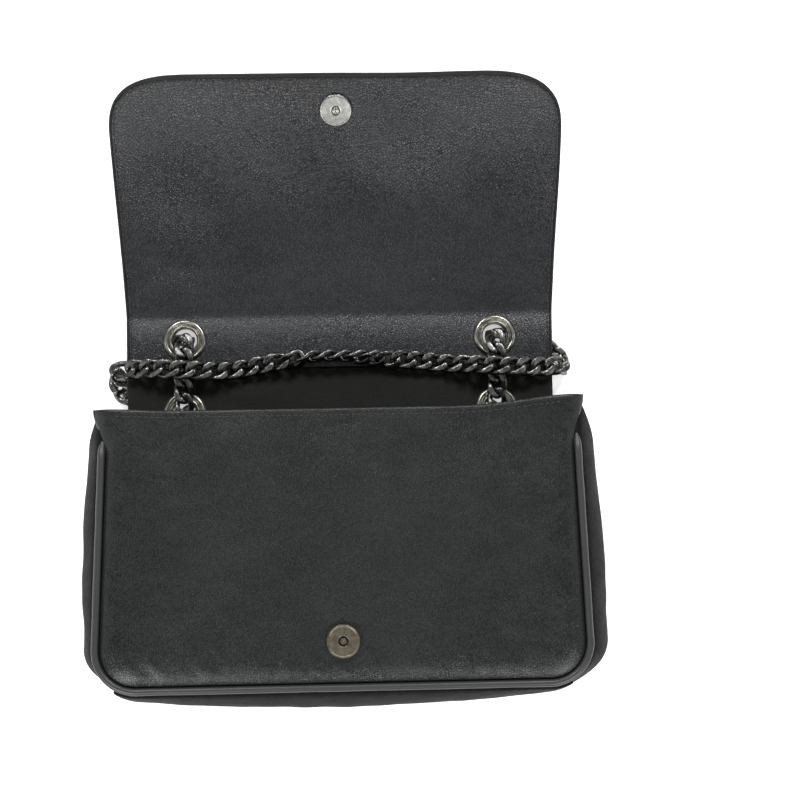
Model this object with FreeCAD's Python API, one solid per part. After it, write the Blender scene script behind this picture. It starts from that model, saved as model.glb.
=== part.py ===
"""Chain shoulder bag, lying open on its back.

A soft leather pouch with a padded front, side gussets and a base strip, a
flap on a folding top strip, a magnetic snap, four eyelets and one endless
curb chain threaded through them. +X runs across the bag, +Y from the base
to the free edge of the opened flap, +Z up from the surface that the bag
lies on. The origin is at the middle of the footprint. Millimetres.
"""
import FreeCAD, Part
import math
import os

V = FreeCAD.Vector
os.makedirs("parts", exist_ok=True)

# ---- driving dimensions ------------------------------------------------
HALF_LENGTH = 175.0      # base to flap edge is twice this, with the flap laid open
FRONT_HEIGHT = 58.0      # seam of the padded front above the surface
LEATHER = 3.0            # outer leather, board and lining of a wall together
LINING = 0.7             # loose lining inside the pouch
BOARD = 1.0              # stiffening boards between the leather and the lining
BOARD_GAP = 1.2          # room that the boards lie in
FRONT_DEPTH = 3.0        # the padded front reaches this far below its seam
FRONT_CROWN = 2.4        # and this far above it

# outline of the pouch, at the seam level
BASE_Y = -166.0          # bottom seam of the front and back
LIP_Y = -14.8            # top edge of the front
BASE_HALF_W = 134.6
LIP_HALF_W = 130.0
CORNER_R = 24.0
SIDE_BULGE = 11.6        # how far the sides stand out between their seams
BASE_BULGE = 8.0
BULGE_BANDS = 8          # rings of facets over the height of the bulging wall
STRIP_PROUD = 1.0        # the base strip lies this far outside the gussets
STRIP_HALF_W = 121.0     # the base strip laps over the side gussets here
PIPING_R = 2.0
PIPING_IN = 2.0          # seam cord, in from the outline and below the seam
PIPING_DROP = 0.5

# folding top
FOLD_Y = -24.0           # back edge of the top strip
CREASE_Y = 44.2          # crease between the top strip and the flap
NECK_Z = 7.2             # underside of the top strip, clear of the chain below it
NECK_TOP = NECK_Z + LEATHER
NECK_HALF_W = 122.5
FOLD_GAP = 0.3            # left open at both fold lines
RAMP_Y = -56.0           # where the back leaves the surface towards the fold

# flap
FLAP_R = 211.0           # the opened flap curls up at this radius
FLAP_ARC = FLAP_R * math.asin((HALF_LENGTH - CREASE_Y) / FLAP_R) + 4.0   # trimmed by its outline
FLAP_HALF_W = 128.2
FLAP_CORNER_R = 23.0
FLAP_SKIN = 1.5          # outer leather; the lining fills the rest of the thickness
LINING_DEPTH = LEATHER - FLAP_SKIN - 0.05
SNAP_ARC = 118.5         # from the crease to the snap, along the flap

# eyelets
EYELET_X = 89.5
EYELET_Y = (-11.0, 31.0)
EYELET_R = 12.4
EYELET_HOLE_R = 7.0
EYELET_BARREL = 1.0
EYELET_FLANGE = 1.7

# magnetic snap
SNAP_R = 9.0
SNAP_THICK = 2.4
SNAP_FRONT_Y = -139.5
SNAP_HOLE_R = 2.6        # socket in the front half
SNAP_STUD_R = 2.2
SNAP_STUD_H = 1.4
SNAP_SHANK_R = 1.3
SNAP_WASHER_R = 7.5
SNAP_WASHER = 0.7
SNAP_SUNK = 0.6            # how far the front disc sits in the padding
SNAP_FRONT_Z = FRONT_HEIGHT + FRONT_CROWN - SNAP_SUNK
SNAP_SEAT = FRONT_CROWN - SNAP_SUNK + FRONT_DEPTH + SNAP_WASHER + 0.1

# curb chain
WIRE = 2.8
LINK_PITCH = 9.1
LINK_HALF_L = 6.5        # wire centre line, half length and half width
LINK_HALF_W = 4.3
LINK_TWIST = 2.4         # how far the wire leaves the middle plane
LINK_FACE = 2.55         # the ground faces lie this far from the middle plane
LINK_STATIONS = 12


# ---- helpers ------------------------------------------------------------
def save(shape, name):
    """Writes one sub-part and reports its size."""
    shape.exportStep("parts/%s.step" % name)
    box = shape.optimalBoundingBox(True, False)
    print("%-24s solids %3d  vol %9.1f  x %7.1f %7.1f  y %7.1f %7.1f  z %6.2f %6.2f  ok %s" % (
        name, len(shape.Solids), shape.Volume, box.XMin, box.XMax,
        box.YMin, box.YMax, box.ZMin, box.ZMax, shape.isValid()))


def pouch_outline(z, out=0.0, out_base=0.0, top=LIP_Y):
    """Closed outline at height z: straight mouth, flaring sides, round base corners.

    out moves the sides outwards and out_base moves the base down.
    """
    slope = (BASE_HALF_W - LIP_HALF_W) / (LIP_Y - BASE_Y)
    low = BASE_Y - out_base
    side_low = BASE_HALF_W + out + slope * (BASE_Y - low)
    side_top = BASE_HALF_W + out - slope * (top - BASE_Y)
    r = CORNER_R + min(out, out_base)
    lean = math.atan(slope)
    tangent = r * math.tan(math.radians(45.0) - lean / 2.0)
    ty, tx = tangent * math.cos(lean), tangent * math.sin(lean)
    side_r = V(side_low - tx, low + ty, z)
    base_r = V(side_low - tangent, low, z)
    centre = V(base_r.x, low + r, z)
    mid = centre + (((side_r + base_r) * 0.5) - centre).normalize() * r

    def flip(p):
        return V(-p.x, p.y, p.z)

    top_r = V(side_top, top, z)
    edges = [
        Part.LineSegment(flip(top_r), top_r).toShape(),
        Part.LineSegment(top_r, side_r).toShape(),
        Part.Arc(side_r, mid, base_r).toShape(),
        Part.LineSegment(base_r, flip(base_r)).toShape(),
        Part.Arc(flip(base_r), flip(mid), flip(side_r)).toShape(),
        Part.LineSegment(flip(side_r), flip(top_r)).toShape(),
    ]
    return Part.Wire(edges)


def bulging_body(inset, extra_base=0.0, top=LIP_Y):
    """Pouch solid whose sides stand out by a half sine between the seams."""
    wires = []
    low, high = inset, FRONT_HEIGHT - inset
    for k in range(BULGE_BANDS + 1):
        share = k / float(BULGE_BANDS)
        z = low + (high - low) * share
        swell = math.sin(math.pi * share)
        wires.append(pouch_outline(z, SIDE_BULGE * swell - inset,
                                   (BASE_BULGE + extra_base) * swell - inset, top))
    return Part.makeLoft(wires, True, True)


def tapered_outline(y0, y1, half0, half1, r):
    """Sheet outline between y0 and y1, with round corners of radius r at y1."""
    slope = (half1 - half0) / (y1 - y0)
    lean = math.atan(slope)
    tangent = r * math.tan(math.radians(45.0) + lean / 2.0)
    side = V(half1 - tangent * math.sin(lean), y1 - tangent * math.cos(lean), 0)
    end = V(half1 - tangent, y1, 0)
    centre = V(end.x, y1 - r, 0)
    mid = centre + (((side + end) * 0.5) - centre).normalize() * r

    def flip(p):
        return V(-p.x, p.y, p.z)

    start = V(half0, y0, 0)
    return Part.Wire([
        Part.LineSegment(flip(start), start).toShape(),
        Part.LineSegment(start, side).toShape(),
        Part.Arc(side, mid, end).toShape(),
        Part.LineSegment(end, flip(end)).toShape(),
        Part.Arc(flip(end), flip(mid), flip(side)).toShape(),
        Part.LineSegment(flip(side), flip(start)).toShape(),
    ])


def prism(wire, z0, z1):
    """Straight solid over a flat wire, from z0 to z1."""
    face = Part.Face(wire)
    face.translate(V(0, 0, z0 - wire.BoundBox.ZMin))
    return face.extrude(V(0, 0, z1 - z0))


def box(x0, x1, y0, y1, z0, z1):
    return Part.makeBox(x1 - x0, y1 - y0, z1 - z0, V(x0, y0, z0))


def revolved(profile):
    """Ring or disc about Z from (radius, height) pairs."""
    points = [V(r, 0, z) for r, z in profile]
    face = Part.Face(Part.makePolygon(points + points[:1]))
    return face.revolve(V(0, 0, 0), V(0, 0, 1), 360)


def eyelet_holes(radius):
    """The holes that the eyelets are set through."""
    drills = [Part.makeCylinder(radius, 30, V(x, y, -10))
              for x in (-EYELET_X, EYELET_X) for y in EYELET_Y]
    return drills[0].fuse(drills[1:])


# ---- pouch ---------------------------------------------------------------
def back_panel():
    """Flat back that lies on the surface and ramps up to the fold."""
    rise = math.atan2(NECK_Z, (FOLD_Y - RAMP_Y) / 2.0)
    radius = ((FOLD_Y - RAMP_Y) ** 2 + NECK_Z ** 2) / (4.0 * NECK_Z)
    half = V(0, (RAMP_Y + FOLD_Y) / 2.0, NECK_Z / 2.0)
    first = V(0, RAMP_Y + radius * math.sin(rise / 2.0), radius * (1 - math.cos(rise / 2.0)))
    last = V(0, FOLD_Y - radius * math.sin(rise / 2.0), NECK_Z - radius * (1 - math.cos(rise / 2.0)))
    up = V(0, 0, LEATHER)
    base = V(0, BASE_Y + 0.5, 0)
    flat = V(0, RAMP_Y, 0)
    edge = V(0, FOLD_Y, NECK_Z)
    profile = Part.Wire([
        Part.LineSegment(base, flat).toShape(),
        Part.Arc(flat, first, half).toShape(),
        Part.Arc(half, last, edge).toShape(),
        Part.LineSegment(edge, edge + up).toShape(),
        Part.Arc(edge + up, last + up, half + up).toShape(),
        Part.Arc(half + up, first + up, flat + up).toShape(),
        Part.LineSegment(flat + up, base + up).toShape(),
        Part.LineSegment(base + up, base).toShape(),
    ])
    sheet = Part.Face(profile).extrude(V(300, 0, 0))
    sheet.translate(V(-150, 0, 0))
    plan = pouch_outline(0, -4.6, -4.6, RAMP_Y + 14)
    neck = tapered_outline(RAMP_Y + 12, FOLD_Y, NECK_HALF_W, NECK_HALF_W, 0.01)
    return sheet.common(prism(plan, -5, 20).fuse(prism(neck, -5, 20)).removeSplitter())


def front_panel():
    """Padded front: flat inside, crowned outside, with the snap's seat."""
    levels = ((-FRONT_DEPTH, -4.8), (0.0, -4.8), (1.6, -7.5), (FRONT_CROWN, -16.0))
    wires = [pouch_outline(FRONT_HEIGHT + dz, out, out, LIP_Y + (0.0 if dz < 1 else -1.2))
             for dz, out in levels]
    panel = Part.makeLoft(wires, True, True)
    seat = Part.makeCylinder(SNAP_R + 0.2, 8, V(0, SNAP_FRONT_Y, SNAP_FRONT_Z))
    hole = Part.makeCylinder(SNAP_HOLE_R, 20, V(0, SNAP_FRONT_Y, SNAP_FRONT_Z - 10))
    return panel.cut(seat).cut(hole)


def mouth_cutter():
    """Everything beyond the mouth: the side gussets dip between the lip and the fold."""
    lip, dip, fold = V(0, LIP_Y, FRONT_HEIGHT - 3), V(0, FOLD_Y - 11, 27), V(0, FOLD_Y - 0.5, 2)
    corners = [V(0, fold.y, -5), V(0, 60, -5), V(0, 60, 90), V(0, lip.y, 90)]
    edges = [Part.Arc(lip, dip, fold).toShape()]
    run = [fold] + corners + [lip]
    edges += [Part.LineSegment(p, q).toShape() for p, q in zip(run, run[1:])]
    cutter = Part.Face(Part.Wire(edges)).extrude(V(400, 0, 0))
    cutter.translate(V(-200, 0, 0))
    return cutter


def gusset_band(extra_base=0.0):
    """The wall round the sides and the base, open at the mouth, front and back."""
    outer = bulging_body(0.0, extra_base, LIP_Y + 2)
    inner = bulging_body(LEATHER, extra_base, LIP_Y + 8)
    back_way = prism(pouch_outline(0, -4.4, -4.4, LIP_Y + 8), -2, LEATHER + 0.6)
    seat_z = FRONT_HEIGHT - PIPING_DROP - PIPING_R - 0.1
    front_way = prism(pouch_outline(0, -4.5, -4.5, LIP_Y + 8), FRONT_HEIGHT - LEATHER - 0.6, 100)
    seam_way = box(-200, 200, -250, 50, seat_z, 100)
    return outer.cut(inner).cut(back_way).cut(front_way).cut(seam_way).cut(mouth_cutter())


def split_band():
    """Side gussets and the base strip that laps over their ends."""
    side_band = gusset_band()
    strip_band = gusset_band(STRIP_PROUD)
    left = side_band.common(box(-200, -STRIP_HALF_W, -250, 50, -5, 100))
    right = side_band.common(box(STRIP_HALF_W, 200, -250, 50, -5, 100))
    half = STRIP_HALF_W - 0.1
    strip = strip_band.common(box(-half, half, -250, BASE_Y + 30, -5, 100))
    return left, right, strip


def piping():
    """Cord sewn into the front seam, down one side, along the base and up the other."""
    outline = pouch_outline(FRONT_HEIGHT - PIPING_DROP, -PIPING_IN, -PIPING_IN, LIP_Y - 14)
    path = Part.Wire(outline.Edges[1:])
    start = path.Vertexes[0].Point
    direction = path.Edges[0].tangentAt(path.Edges[0].FirstParameter)
    circle = Part.Wire(Part.Circle(start, direction, PIPING_R).toShape())
    return path.makePipeShell([circle], True, False)


def lining():
    """Loose cloth pouch against the inside of the walls and boards."""
    inset = LEATHER + BOARD_GAP
    outer = bulging_body(inset, 0.0, LIP_Y + 2)
    inner = bulging_body(inset + LINING, 0.0, LIP_Y + 8)
    ramp_way = box(-200, 200, RAMP_Y + 4, 60, -5, NECK_TOP + 1.5)
    return outer.cut(inner).cut(mouth_cutter()).cut(ramp_way)


def board(y0, y1, half_w, z):
    """Flat stiffener with round base corners."""
    plan = tapered_outline(-y1, -y0, half_w - 3, half_w, CORNER_R)
    plan.rotate(V(0, 0, 0), V(0, 0, 1), 180)
    return prism(plan, z, z + BOARD)


def base_board():
    """Stiffener between the base strip and the lining."""
    shell = bulging_body(LEATHER + 0.1).cut(bulging_body(LEATHER + 0.1 + BOARD))
    return shell.common(box(-105, 105, -250, BASE_Y + 8, 12, FRONT_HEIGHT - 12))


# ---- folding top and flap -------------------------------------------------
def top_strip():
    """Flat strip between the two folds, with the four eyelet holes."""
    strip = box(-NECK_HALF_W, NECK_HALF_W, FOLD_Y + FOLD_GAP, CREASE_Y - FOLD_GAP, NECK_Z, NECK_TOP)
    return strip.cut(eyelet_holes(EYELET_HOLE_R + EYELET_BARREL + 0.1))


def flap_point(arc, height):
    """Point on the flap at an arc length from the crease and a height over the inner face."""
    turn = arc / FLAP_R
    r = FLAP_R - height
    return V(0, CREASE_Y + r * math.sin(turn), NECK_TOP + FLAP_R - r * math.cos(turn))


def flap_skin(outer, inner):
    """One bent layer of the flap, between two depths under the inner face."""
    a0, a1, mid = FOLD_GAP, FLAP_ARC, FLAP_ARC / 2.0
    profile = Part.Wire([
        Part.Arc(flap_point(a0, -inner), flap_point(mid, -inner), flap_point(a1, -inner)).toShape(),
        Part.LineSegment(flap_point(a1, -inner), flap_point(a1, -outer)).toShape(),
        Part.Arc(flap_point(a1, -outer), flap_point(mid, -outer), flap_point(a0, -outer)).toShape(),
        Part.LineSegment(flap_point(a0, -outer), flap_point(a0, -inner)).toShape(),
    ])
    sheet = Part.Face(profile).extrude(V(300, 0, 0))
    sheet.translate(V(-150, 0, 0))
    plan = tapered_outline(CREASE_Y - 5, HALF_LENGTH, NECK_HALF_W, FLAP_HALF_W, FLAP_CORNER_R)
    return sheet.common(prism(plan, -5, 120))


def on_flap(shape):
    """Moves a piece made about Z at the origin onto the flap's inner face."""
    turn = SNAP_ARC / FLAP_R
    moved = shape.copy()
    moved.Placement = FreeCAD.Placement(flap_point(SNAP_ARC, 0.0),
                                        FreeCAD.Rotation(V(1, 0, 0), math.degrees(turn)))
    return moved


# ---- hardware --------------------------------------------------------------
def eyelet():
    """Double-ridged eyelet pressed round the strip, hole free for the chain."""
    a, b = EYELET_HOLE_R, EYELET_R
    t, f = NECK_TOP, EYELET_FLANGE
    u = NECK_Z
    return revolved([
        (a, u - 0.7), (a, t + 1.0), (a + 0.9, t + f), (a + 2.0, t + 0.9), (a + 3.4, t + f),
        (b, t + 0.1), (a + EYELET_BARREL, t + 0.1), (a + EYELET_BARREL, u - 0.1),
        (b - 0.6, u - 0.1), (b - 1.4, u - 1.1), (a + 0.8, u - 1.3),
    ])


def snap_rivet(low, high, head_r, head_h):
    """Rivet through a snap half: washer-side tail, shank, and head towards the other half."""
    r = SNAP_SHANK_R
    return revolved([
        (0, low - 0.25), (r + 0.9, low - 0.25), (r + 0.9, low), (r, low),
        (r, high), (head_r, high), (head_r, high + head_h - 0.3), (head_r - 0.3, high + head_h),
        (0, high + head_h),
    ])


def snap_washer(z0):
    """Backing washer of a snap half."""
    return revolved([(SNAP_SHANK_R + 0.05, z0), (SNAP_WASHER_R, z0),
                     (SNAP_WASHER_R, z0 + SNAP_WASHER), (SNAP_SHANK_R + 0.05, z0 + SNAP_WASHER)])


def snap_disc(radius, hole, thick, z0):
    """Plated disc with a rolled rim and a centre hole."""
    rim = 0.5
    return revolved([
        (hole, z0), (radius, z0), (radius, z0 + thick - rim), (radius - rim, z0 + thick),
        (radius - 2 * rim, z0 + thick - 0.15), (hole, z0 + thick - 0.15),
    ])


# ---- chain -----------------------------------------------------------------
def link_ring(turn):
    """Four corners of the wire at one station of the link's loop.

    The wire's centre runs round an ellipse and leaves its plane by a double
    sine, which lets each link pass through the next one while all lie flat.
    The corners are held between the two ground faces.
    """
    c, s = math.cos(turn), math.sin(turn)
    centre = V(LINK_HALF_L * c, LINK_HALF_W * s, -LINK_TWIST * math.sin(2 * turn))
    tangent = V(-LINK_HALF_L * s, LINK_HALF_W * c, -2 * LINK_TWIST * math.cos(2 * turn)).normalize()
    out = V(tangent.y, -tangent.x, 0).normalize()
    up = out.cross(tangent)
    half = WIRE / 2.0
    corners = []
    for a, b in ((1, 1), (-1, 1), (-1, -1), (1, -1)):
        p = centre + out * (a * half) + up * (b * half)
        corners.append(V(p.x, p.y, max(-LINK_FACE, min(LINK_FACE, p.z))))
    return corners


def curb_link():
    """One closed link, from flat facets between its stations."""
    n = LINK_STATIONS
    rings = [link_ring(2 * math.pi * (k + 0.5) / n) for k in range(n)]
    faces = []
    for k in range(n):
        near, far = rings[k], rings[(k + 1) % n]
        for j in range(4):
            a, b = near[j], near[(j + 1) % 4]
            c, d = far[(j + 1) % 4], far[j]
            for corner in ((a, b, c), (a, c, d)):
                faces.append(Part.Face(Part.makePolygon(list(corner) + [corner[0]])))
    solid = Part.Solid(Part.Shell(faces))
    if solid.Volume < 0:
        solid.reverse()
    return solid


TURN_X = NECK_HALF_W + 6.5
TURN_Y = 13.0
TURN_Z = 13.0
UNDER_Z = LINK_FACE + 0.45
OVER_Z = NECK_TOP + LINK_FACE + 0.5
RIM_Z = NECK_TOP + EYELET_FLANGE + LINK_FACE + 0.6
CROSS_Z = RIM_Z + 2 * LINK_FACE + 0.8
ON_EDGE_Z = NECK_TOP + LINK_HALF_W + WIRE / 2.0 + 0.9
HOLE_LOW_Z = 3.3                      # joints above and below the link that stands in a hole
HOLE_HIGH_Z = HOLE_LOW_Z + 9.7
UPPER_Y = EYELET_Y[1] + 0.3
LOWER_Y = EYELET_Y[0] - 0.3
UP, DOWN = V(0, 0, 1), V(0, 0, -1)
ON_EDGE = V(0, -1, 0.1)

# the strand that lies across the top strip, from the left edge to the right one
FRONT_ROUTE = [
    (V(-TURN_X, TURN_Y, TURN_Z), UP),
    (V(-112.0, 14.4, OVER_Z + 3.2), UP),
    (V(-99.0, 13.4, CROSS_Z - 0.3), UP),
    (V(-EYELET_X, 12.7, CROSS_Z), UP),
    (V(-80.0, 12.2, CROSS_Z - 0.3), UP),
    (V(-67.0, 12.0, OVER_Z + 2.2), UP),
    (V(-54.0, 13.9, OVER_Z), UP),
    (V(-37.0, 16.8, OVER_Z + 1.8), UP),
    (V(-18.0, 19.4, ON_EDGE_Z), ON_EDGE),
    (V(0.0, 19.8, ON_EDGE_Z), ON_EDGE),
    (V(19.0, 18.2, ON_EDGE_Z), V(0, -0.8, 0.6)),
    (V(40.0, 17.0, OVER_Z + 1.8), UP),
    (V(55.0, 15.4, OVER_Z), UP),
    (V(67.0, 14.0, OVER_Z + 2.2), UP),
    (V(80.0, 12.8, CROSS_Z - 0.3), UP),
    (V(EYELET_X, 12.0, CROSS_Z), UP),
    (V(99.0, 11.6, CROSS_Z - 0.3), UP),
    (V(112.0, 11.6, OVER_Z + 3.2), UP),
    (V(TURN_X, TURN_Y, TURN_Z), UP),
]

# round the edge of the strip and under it to the upper eyelet (right side)
TURN_ROUTE = [
    (V(TURN_X, TURN_Y, TURN_Z), V(1, 0, 0)),
    (V(TURN_X, TURN_Y, UNDER_Z), V(1, 0, 0)),
]
SIDE_ROUTE = [
    (V(TURN_X, TURN_Y, UNDER_Z), DOWN),
    (V(TURN_X - 3.5, TURN_Y + 8.3, UNDER_Z), DOWN),
    (V(TURN_X - 11.5, TURN_Y + 13.0, UNDER_Z), DOWN),
    (V(TURN_X - 22.0, TURN_Y + 16.5, UNDER_Z), DOWN),
    (V(EYELET_X + 8.5, UPPER_Y - 0.5, UNDER_Z + 0.2), DOWN),
    (V(EYELET_X, UPPER_Y, HOLE_LOW_Z), DOWN),
]
LONG_SIDE_ROUTE = [
    (V(TURN_X, TURN_Y, UNDER_Z), DOWN),
    (V(TURN_X - 0.5, TURN_Y - 8.5, UNDER_Z), DOWN),
    (V(TURN_X - 7.0, TURN_Y - 14.5, UNDER_Z), DOWN),
    (V(TURN_X - 15.5, TURN_Y - 12.5, UNDER_Z), DOWN),
    (V(TURN_X - 21.0, TURN_Y - 5.5, UNDER_Z), DOWN),
    (V(TURN_X - 24.5, TURN_Y + 5.5, UNDER_Z), DOWN),
    (V(EYELET_X + 9.0, UPPER_Y - 3.0, UNDER_Z + 0.2), DOWN),
    (V(EYELET_X, UPPER_Y, HOLE_LOW_Z), DOWN),
]

# the link that stands in the upper hole, the links over to the lower one, and down
RISE_ROUTE = [
    (V(EYELET_X, UPPER_Y, HOLE_LOW_Z), V(0, -1, 0)),
    (V(EYELET_X, UPPER_Y, HOLE_HIGH_Z), V(0, -1, 0)),
]
OVER_ROUTE = [
    (V(EYELET_X, UPPER_Y, HOLE_HIGH_Z), DOWN),
    (V(EYELET_X, UPPER_Y - 9.0, RIM_Z), DOWN),
    (V(EYELET_X, LOWER_Y + 9.0, RIM_Z), DOWN),
    (V(EYELET_X, LOWER_Y, HOLE_HIGH_Z), DOWN),
]
FALL_ROUTE = [
    (V(EYELET_X, LOWER_Y, HOLE_HIGH_Z), V(0, 1, 0)),
    (V(EYELET_X, LOWER_Y, HOLE_LOW_Z), V(0, 1, 0)),
]

# on the surface below the top strip and the flap, to the middle
BACK_ROUTE = [
    (V(EYELET_X, LOWER_Y, HOLE_LOW_Z), DOWN),
    (V(EYELET_X - 8.8, LOWER_Y + 2.5, UNDER_Z), DOWN),
    (V(EYELET_X - 15.2, LOWER_Y + 9.3, UNDER_Z), DOWN),
    (V(EYELET_X - 21.5, 10.0, UNDER_Z), DOWN),
    (V(EYELET_X - 23.0, 30.0, UNDER_Z), DOWN),
    (V(EYELET_X - 27.0, 54.0, UNDER_Z), DOWN),
    (V(EYELET_X - 34.0, 77.0, UNDER_Z), DOWN),
    (V(EYELET_X - 50.0, 98.0, UNDER_Z), DOWN),
    (V(EYELET_X - 72.0, 107.0, UNDER_Z), DOWN),
]


def mirrored(route):
    """The same stretch on the other side, run the other way."""
    return [(V(-p.x, p.y, p.z), V(-n.x, n.y, n.z)) for p, n in reversed(route)]


# the strands that the strip carries, in order, and the loop that stays on the surface
STRIP_STRETCHES = [
    mirrored(BACK_ROUTE[:3]), mirrored(FALL_ROUTE), mirrored(OVER_ROUTE), mirrored(RISE_ROUTE),
    mirrored(LONG_SIDE_ROUTE), mirrored(TURN_ROUTE),
    FRONT_ROUTE,
    TURN_ROUTE, SIDE_ROUTE, RISE_ROUTE, OVER_ROUTE, FALL_ROUTE, BACK_ROUTE[:3],
]
LOOP_STRETCH = BACK_ROUTE[2:] + mirrored(BACK_ROUTE[2:])


def link_place(start, end, normal):
    """Where a link lies: along its joints, its flat faces square to the normal."""
    along = (end - start).normalize()
    across = normal.cross(along).normalize()
    upright = along.cross(across)
    middle = (start + end) * 0.5
    return FreeCAD.Placement(FreeCAD.Matrix(
        along.x, across.x, upright.x, middle.x,
        along.y, across.y, upright.y, middle.y,
        along.z, across.z, upright.z, middle.z,
        0, 0, 0, 1))


def stretch_links(route, link):
    """Links end to end along one stretch, equally spaced by arc length."""
    curve = Part.BSplineCurve()
    curve.interpolate(Points=[p for p, n in route])
    edge = curve.toShape()
    knots = curve.getKnots()
    count = int(round(edge.Length / LINK_PITCH))
    joints = [edge.getParameterByLength(edge.Length * k / count) for k in range(count + 1)]
    links = []
    for low, high in zip(joints, joints[1:]):
        middle = (low + high) / 2.0
        span = max(j for j in range(len(knots) - 1) if knots[j] <= middle)
        share = (middle - knots[span]) / (knots[span + 1] - knots[span])
        normal = route[span][1] * (1 - share) + route[span + 1][1] * share
        placed = link.copy()
        placed.Placement = link_place(edge.valueAt(low), edge.valueAt(high), normal)
        links.append(placed)
    print("chain stretch: %2d links, %.1f mm, step %.2f mm" % (
        count, edge.Length, edge.Length / count))
    return links


def chain_nodes():
    """The endless chain, as the strands on the strip and the loop under the flap."""
    link = curb_link()
    threaded = [placed for route in STRIP_STRETCHES for placed in stretch_links(route, link)]
    return {"chain_threaded": threaded, "chain_loop": stretch_links(LOOP_STRETCH, link)}


# ---- build -------------------------------------------------------------------
def save_pouch():
    save(back_panel(), "back_panel")
    save(front_panel(), "front_panel")
    left, right, strip = split_band()
    save(left, "gusset_left")
    save(right, "gusset_right")
    save(strip, "base_strip")
    save(piping(), "front_piping")
    save(lining(), "lining")
    save(board(BASE_Y + 12, RAMP_Y - 3, 116, LEATHER + 0.1), "back_board")
    washer_hole = Part.makeCylinder(SNAP_WASHER_R + 1, 20, V(0, SNAP_FRONT_Y, FRONT_HEIGHT - 15))
    front_z = FRONT_HEIGHT - FRONT_DEPTH - BOARD - 0.1
    save(board(BASE_Y + 12, LIP_Y - 12, 116, front_z).cut(washer_hole), "front_board")
    save(base_board(), "base_board")


def save_flap():
    save(top_strip(), "top_strip")
    pocket = on_flap(Part.makeCylinder(SNAP_WASHER_R + 0.3, SNAP_WASHER + 0.6,
                                       V(0, 0, -LINING_DEPTH - 0.3)))
    shank = on_flap(Part.makeCylinder(SNAP_SHANK_R + 0.1, 8, V(0, 0, -4)))
    save(flap_skin(LEATHER, LEATHER - FLAP_SKIN), "flap_leather")
    save(flap_skin(LINING_DEPTH, 0.0).cut(pocket).cut(shank), "flap_lining")


def save_hardware():
    rings = []
    for x in (-EYELET_X, EYELET_X):
        for y in EYELET_Y:
            ring = eyelet()
            ring.translate(V(x, y, 0))
            rings.append(ring)
    save(Part.makeCompound(rings), "eyelets")

    front = {
        "snap_socket": snap_disc(SNAP_R, SNAP_HOLE_R, SNAP_THICK, 0.05),
        "snap_socket_rivet": snap_rivet(-SNAP_SEAT, 0.1, SNAP_HOLE_R - 0.6, 0.9),
        "snap_socket_washer": snap_washer(-SNAP_SEAT),
    }
    for name, piece in front.items():
        piece.translate(V(0, SNAP_FRONT_Y, SNAP_FRONT_Z))
        save(piece, name)
    save(on_flap(snap_disc(SNAP_R, SNAP_STUD_R + 0.05, SNAP_THICK, 0.3)), "snap_stud_plate")
    save(on_flap(revolved([(0, 0.3), (SNAP_STUD_R, 0.3), (SNAP_STUD_R, SNAP_THICK + SNAP_STUD_H - 0.4),
                           (SNAP_STUD_R - 0.4, SNAP_THICK + SNAP_STUD_H),
                           (0, SNAP_THICK + SNAP_STUD_H)])), "snap_stud")
    save(on_flap(snap_washer(0.2 - LINING_DEPTH)), "snap_stud_washer")


def main():
    save_pouch()
    save_flap()
    save_hardware()
    for name, links in chain_nodes().items():
        save(Part.makeCompound(links), name)


main()
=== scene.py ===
"""Chain shoulder bag, lying open on its back: its visible surfaces, its finishes and the studio.

The pouch, the folding top with its flap, the eyelets, the magnetic snap and the curb
chain are each a class. Sizes are in millimetres and turn to metres when a mesh is made.
+X runs across the bag, +Y from the base to the flap's free edge, +Z up.
"""

import logging
import math
from dataclasses import dataclass
from enum import Enum
from typing import Any, Dict, List, Optional, Sequence, Tuple

import bmesh
import bpy
import numpy as np
from mathutils import Euler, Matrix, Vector

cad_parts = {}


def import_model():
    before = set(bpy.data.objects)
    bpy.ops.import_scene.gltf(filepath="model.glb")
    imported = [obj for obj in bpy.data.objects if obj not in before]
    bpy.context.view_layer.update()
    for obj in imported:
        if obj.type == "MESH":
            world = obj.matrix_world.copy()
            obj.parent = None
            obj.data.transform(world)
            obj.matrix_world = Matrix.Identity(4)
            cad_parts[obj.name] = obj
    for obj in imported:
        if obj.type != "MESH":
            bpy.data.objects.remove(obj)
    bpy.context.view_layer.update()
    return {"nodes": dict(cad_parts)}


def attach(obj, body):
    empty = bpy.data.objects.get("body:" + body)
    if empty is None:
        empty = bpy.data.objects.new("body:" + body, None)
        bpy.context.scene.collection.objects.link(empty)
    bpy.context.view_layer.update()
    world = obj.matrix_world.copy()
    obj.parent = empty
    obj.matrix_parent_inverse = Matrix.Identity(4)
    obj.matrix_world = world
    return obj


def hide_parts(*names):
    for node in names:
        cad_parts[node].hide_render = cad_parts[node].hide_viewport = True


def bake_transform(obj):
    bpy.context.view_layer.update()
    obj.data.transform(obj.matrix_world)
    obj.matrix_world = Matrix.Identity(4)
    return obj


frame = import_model()

Piece = bpy.types.Object
Colour = Tuple[float, float, float, float]
Triple = Tuple[float, float, float]
Pairs = Sequence[Tuple[float, float]]
Mesh = Tuple[np.ndarray, np.ndarray]    # points and quads
XY = Tuple[np.ndarray, np.ndarray]

LOG = logging.getLogger("bag")
MM = 0.001
HALF_PI = 0.5 * math.pi
FULL_TURN = 2.0 * math.pi
AXIS_R = 0.001      # a turned section stops this far from its axis
MERGE_M = 2e-6      # points nearer than this become one
EDGE = (0.0, 0.12, 0.4, 0.85, 1.5, 2.4, 3.6)    # columns this far inside a cut edge keep it round
WAVE_RANGE = (0.65, 1.6)    # shortest and longest wave of a relief, as shares of the typical one
LAST_PHASE = 6.283          # phases are drawn from 0 to here


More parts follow.
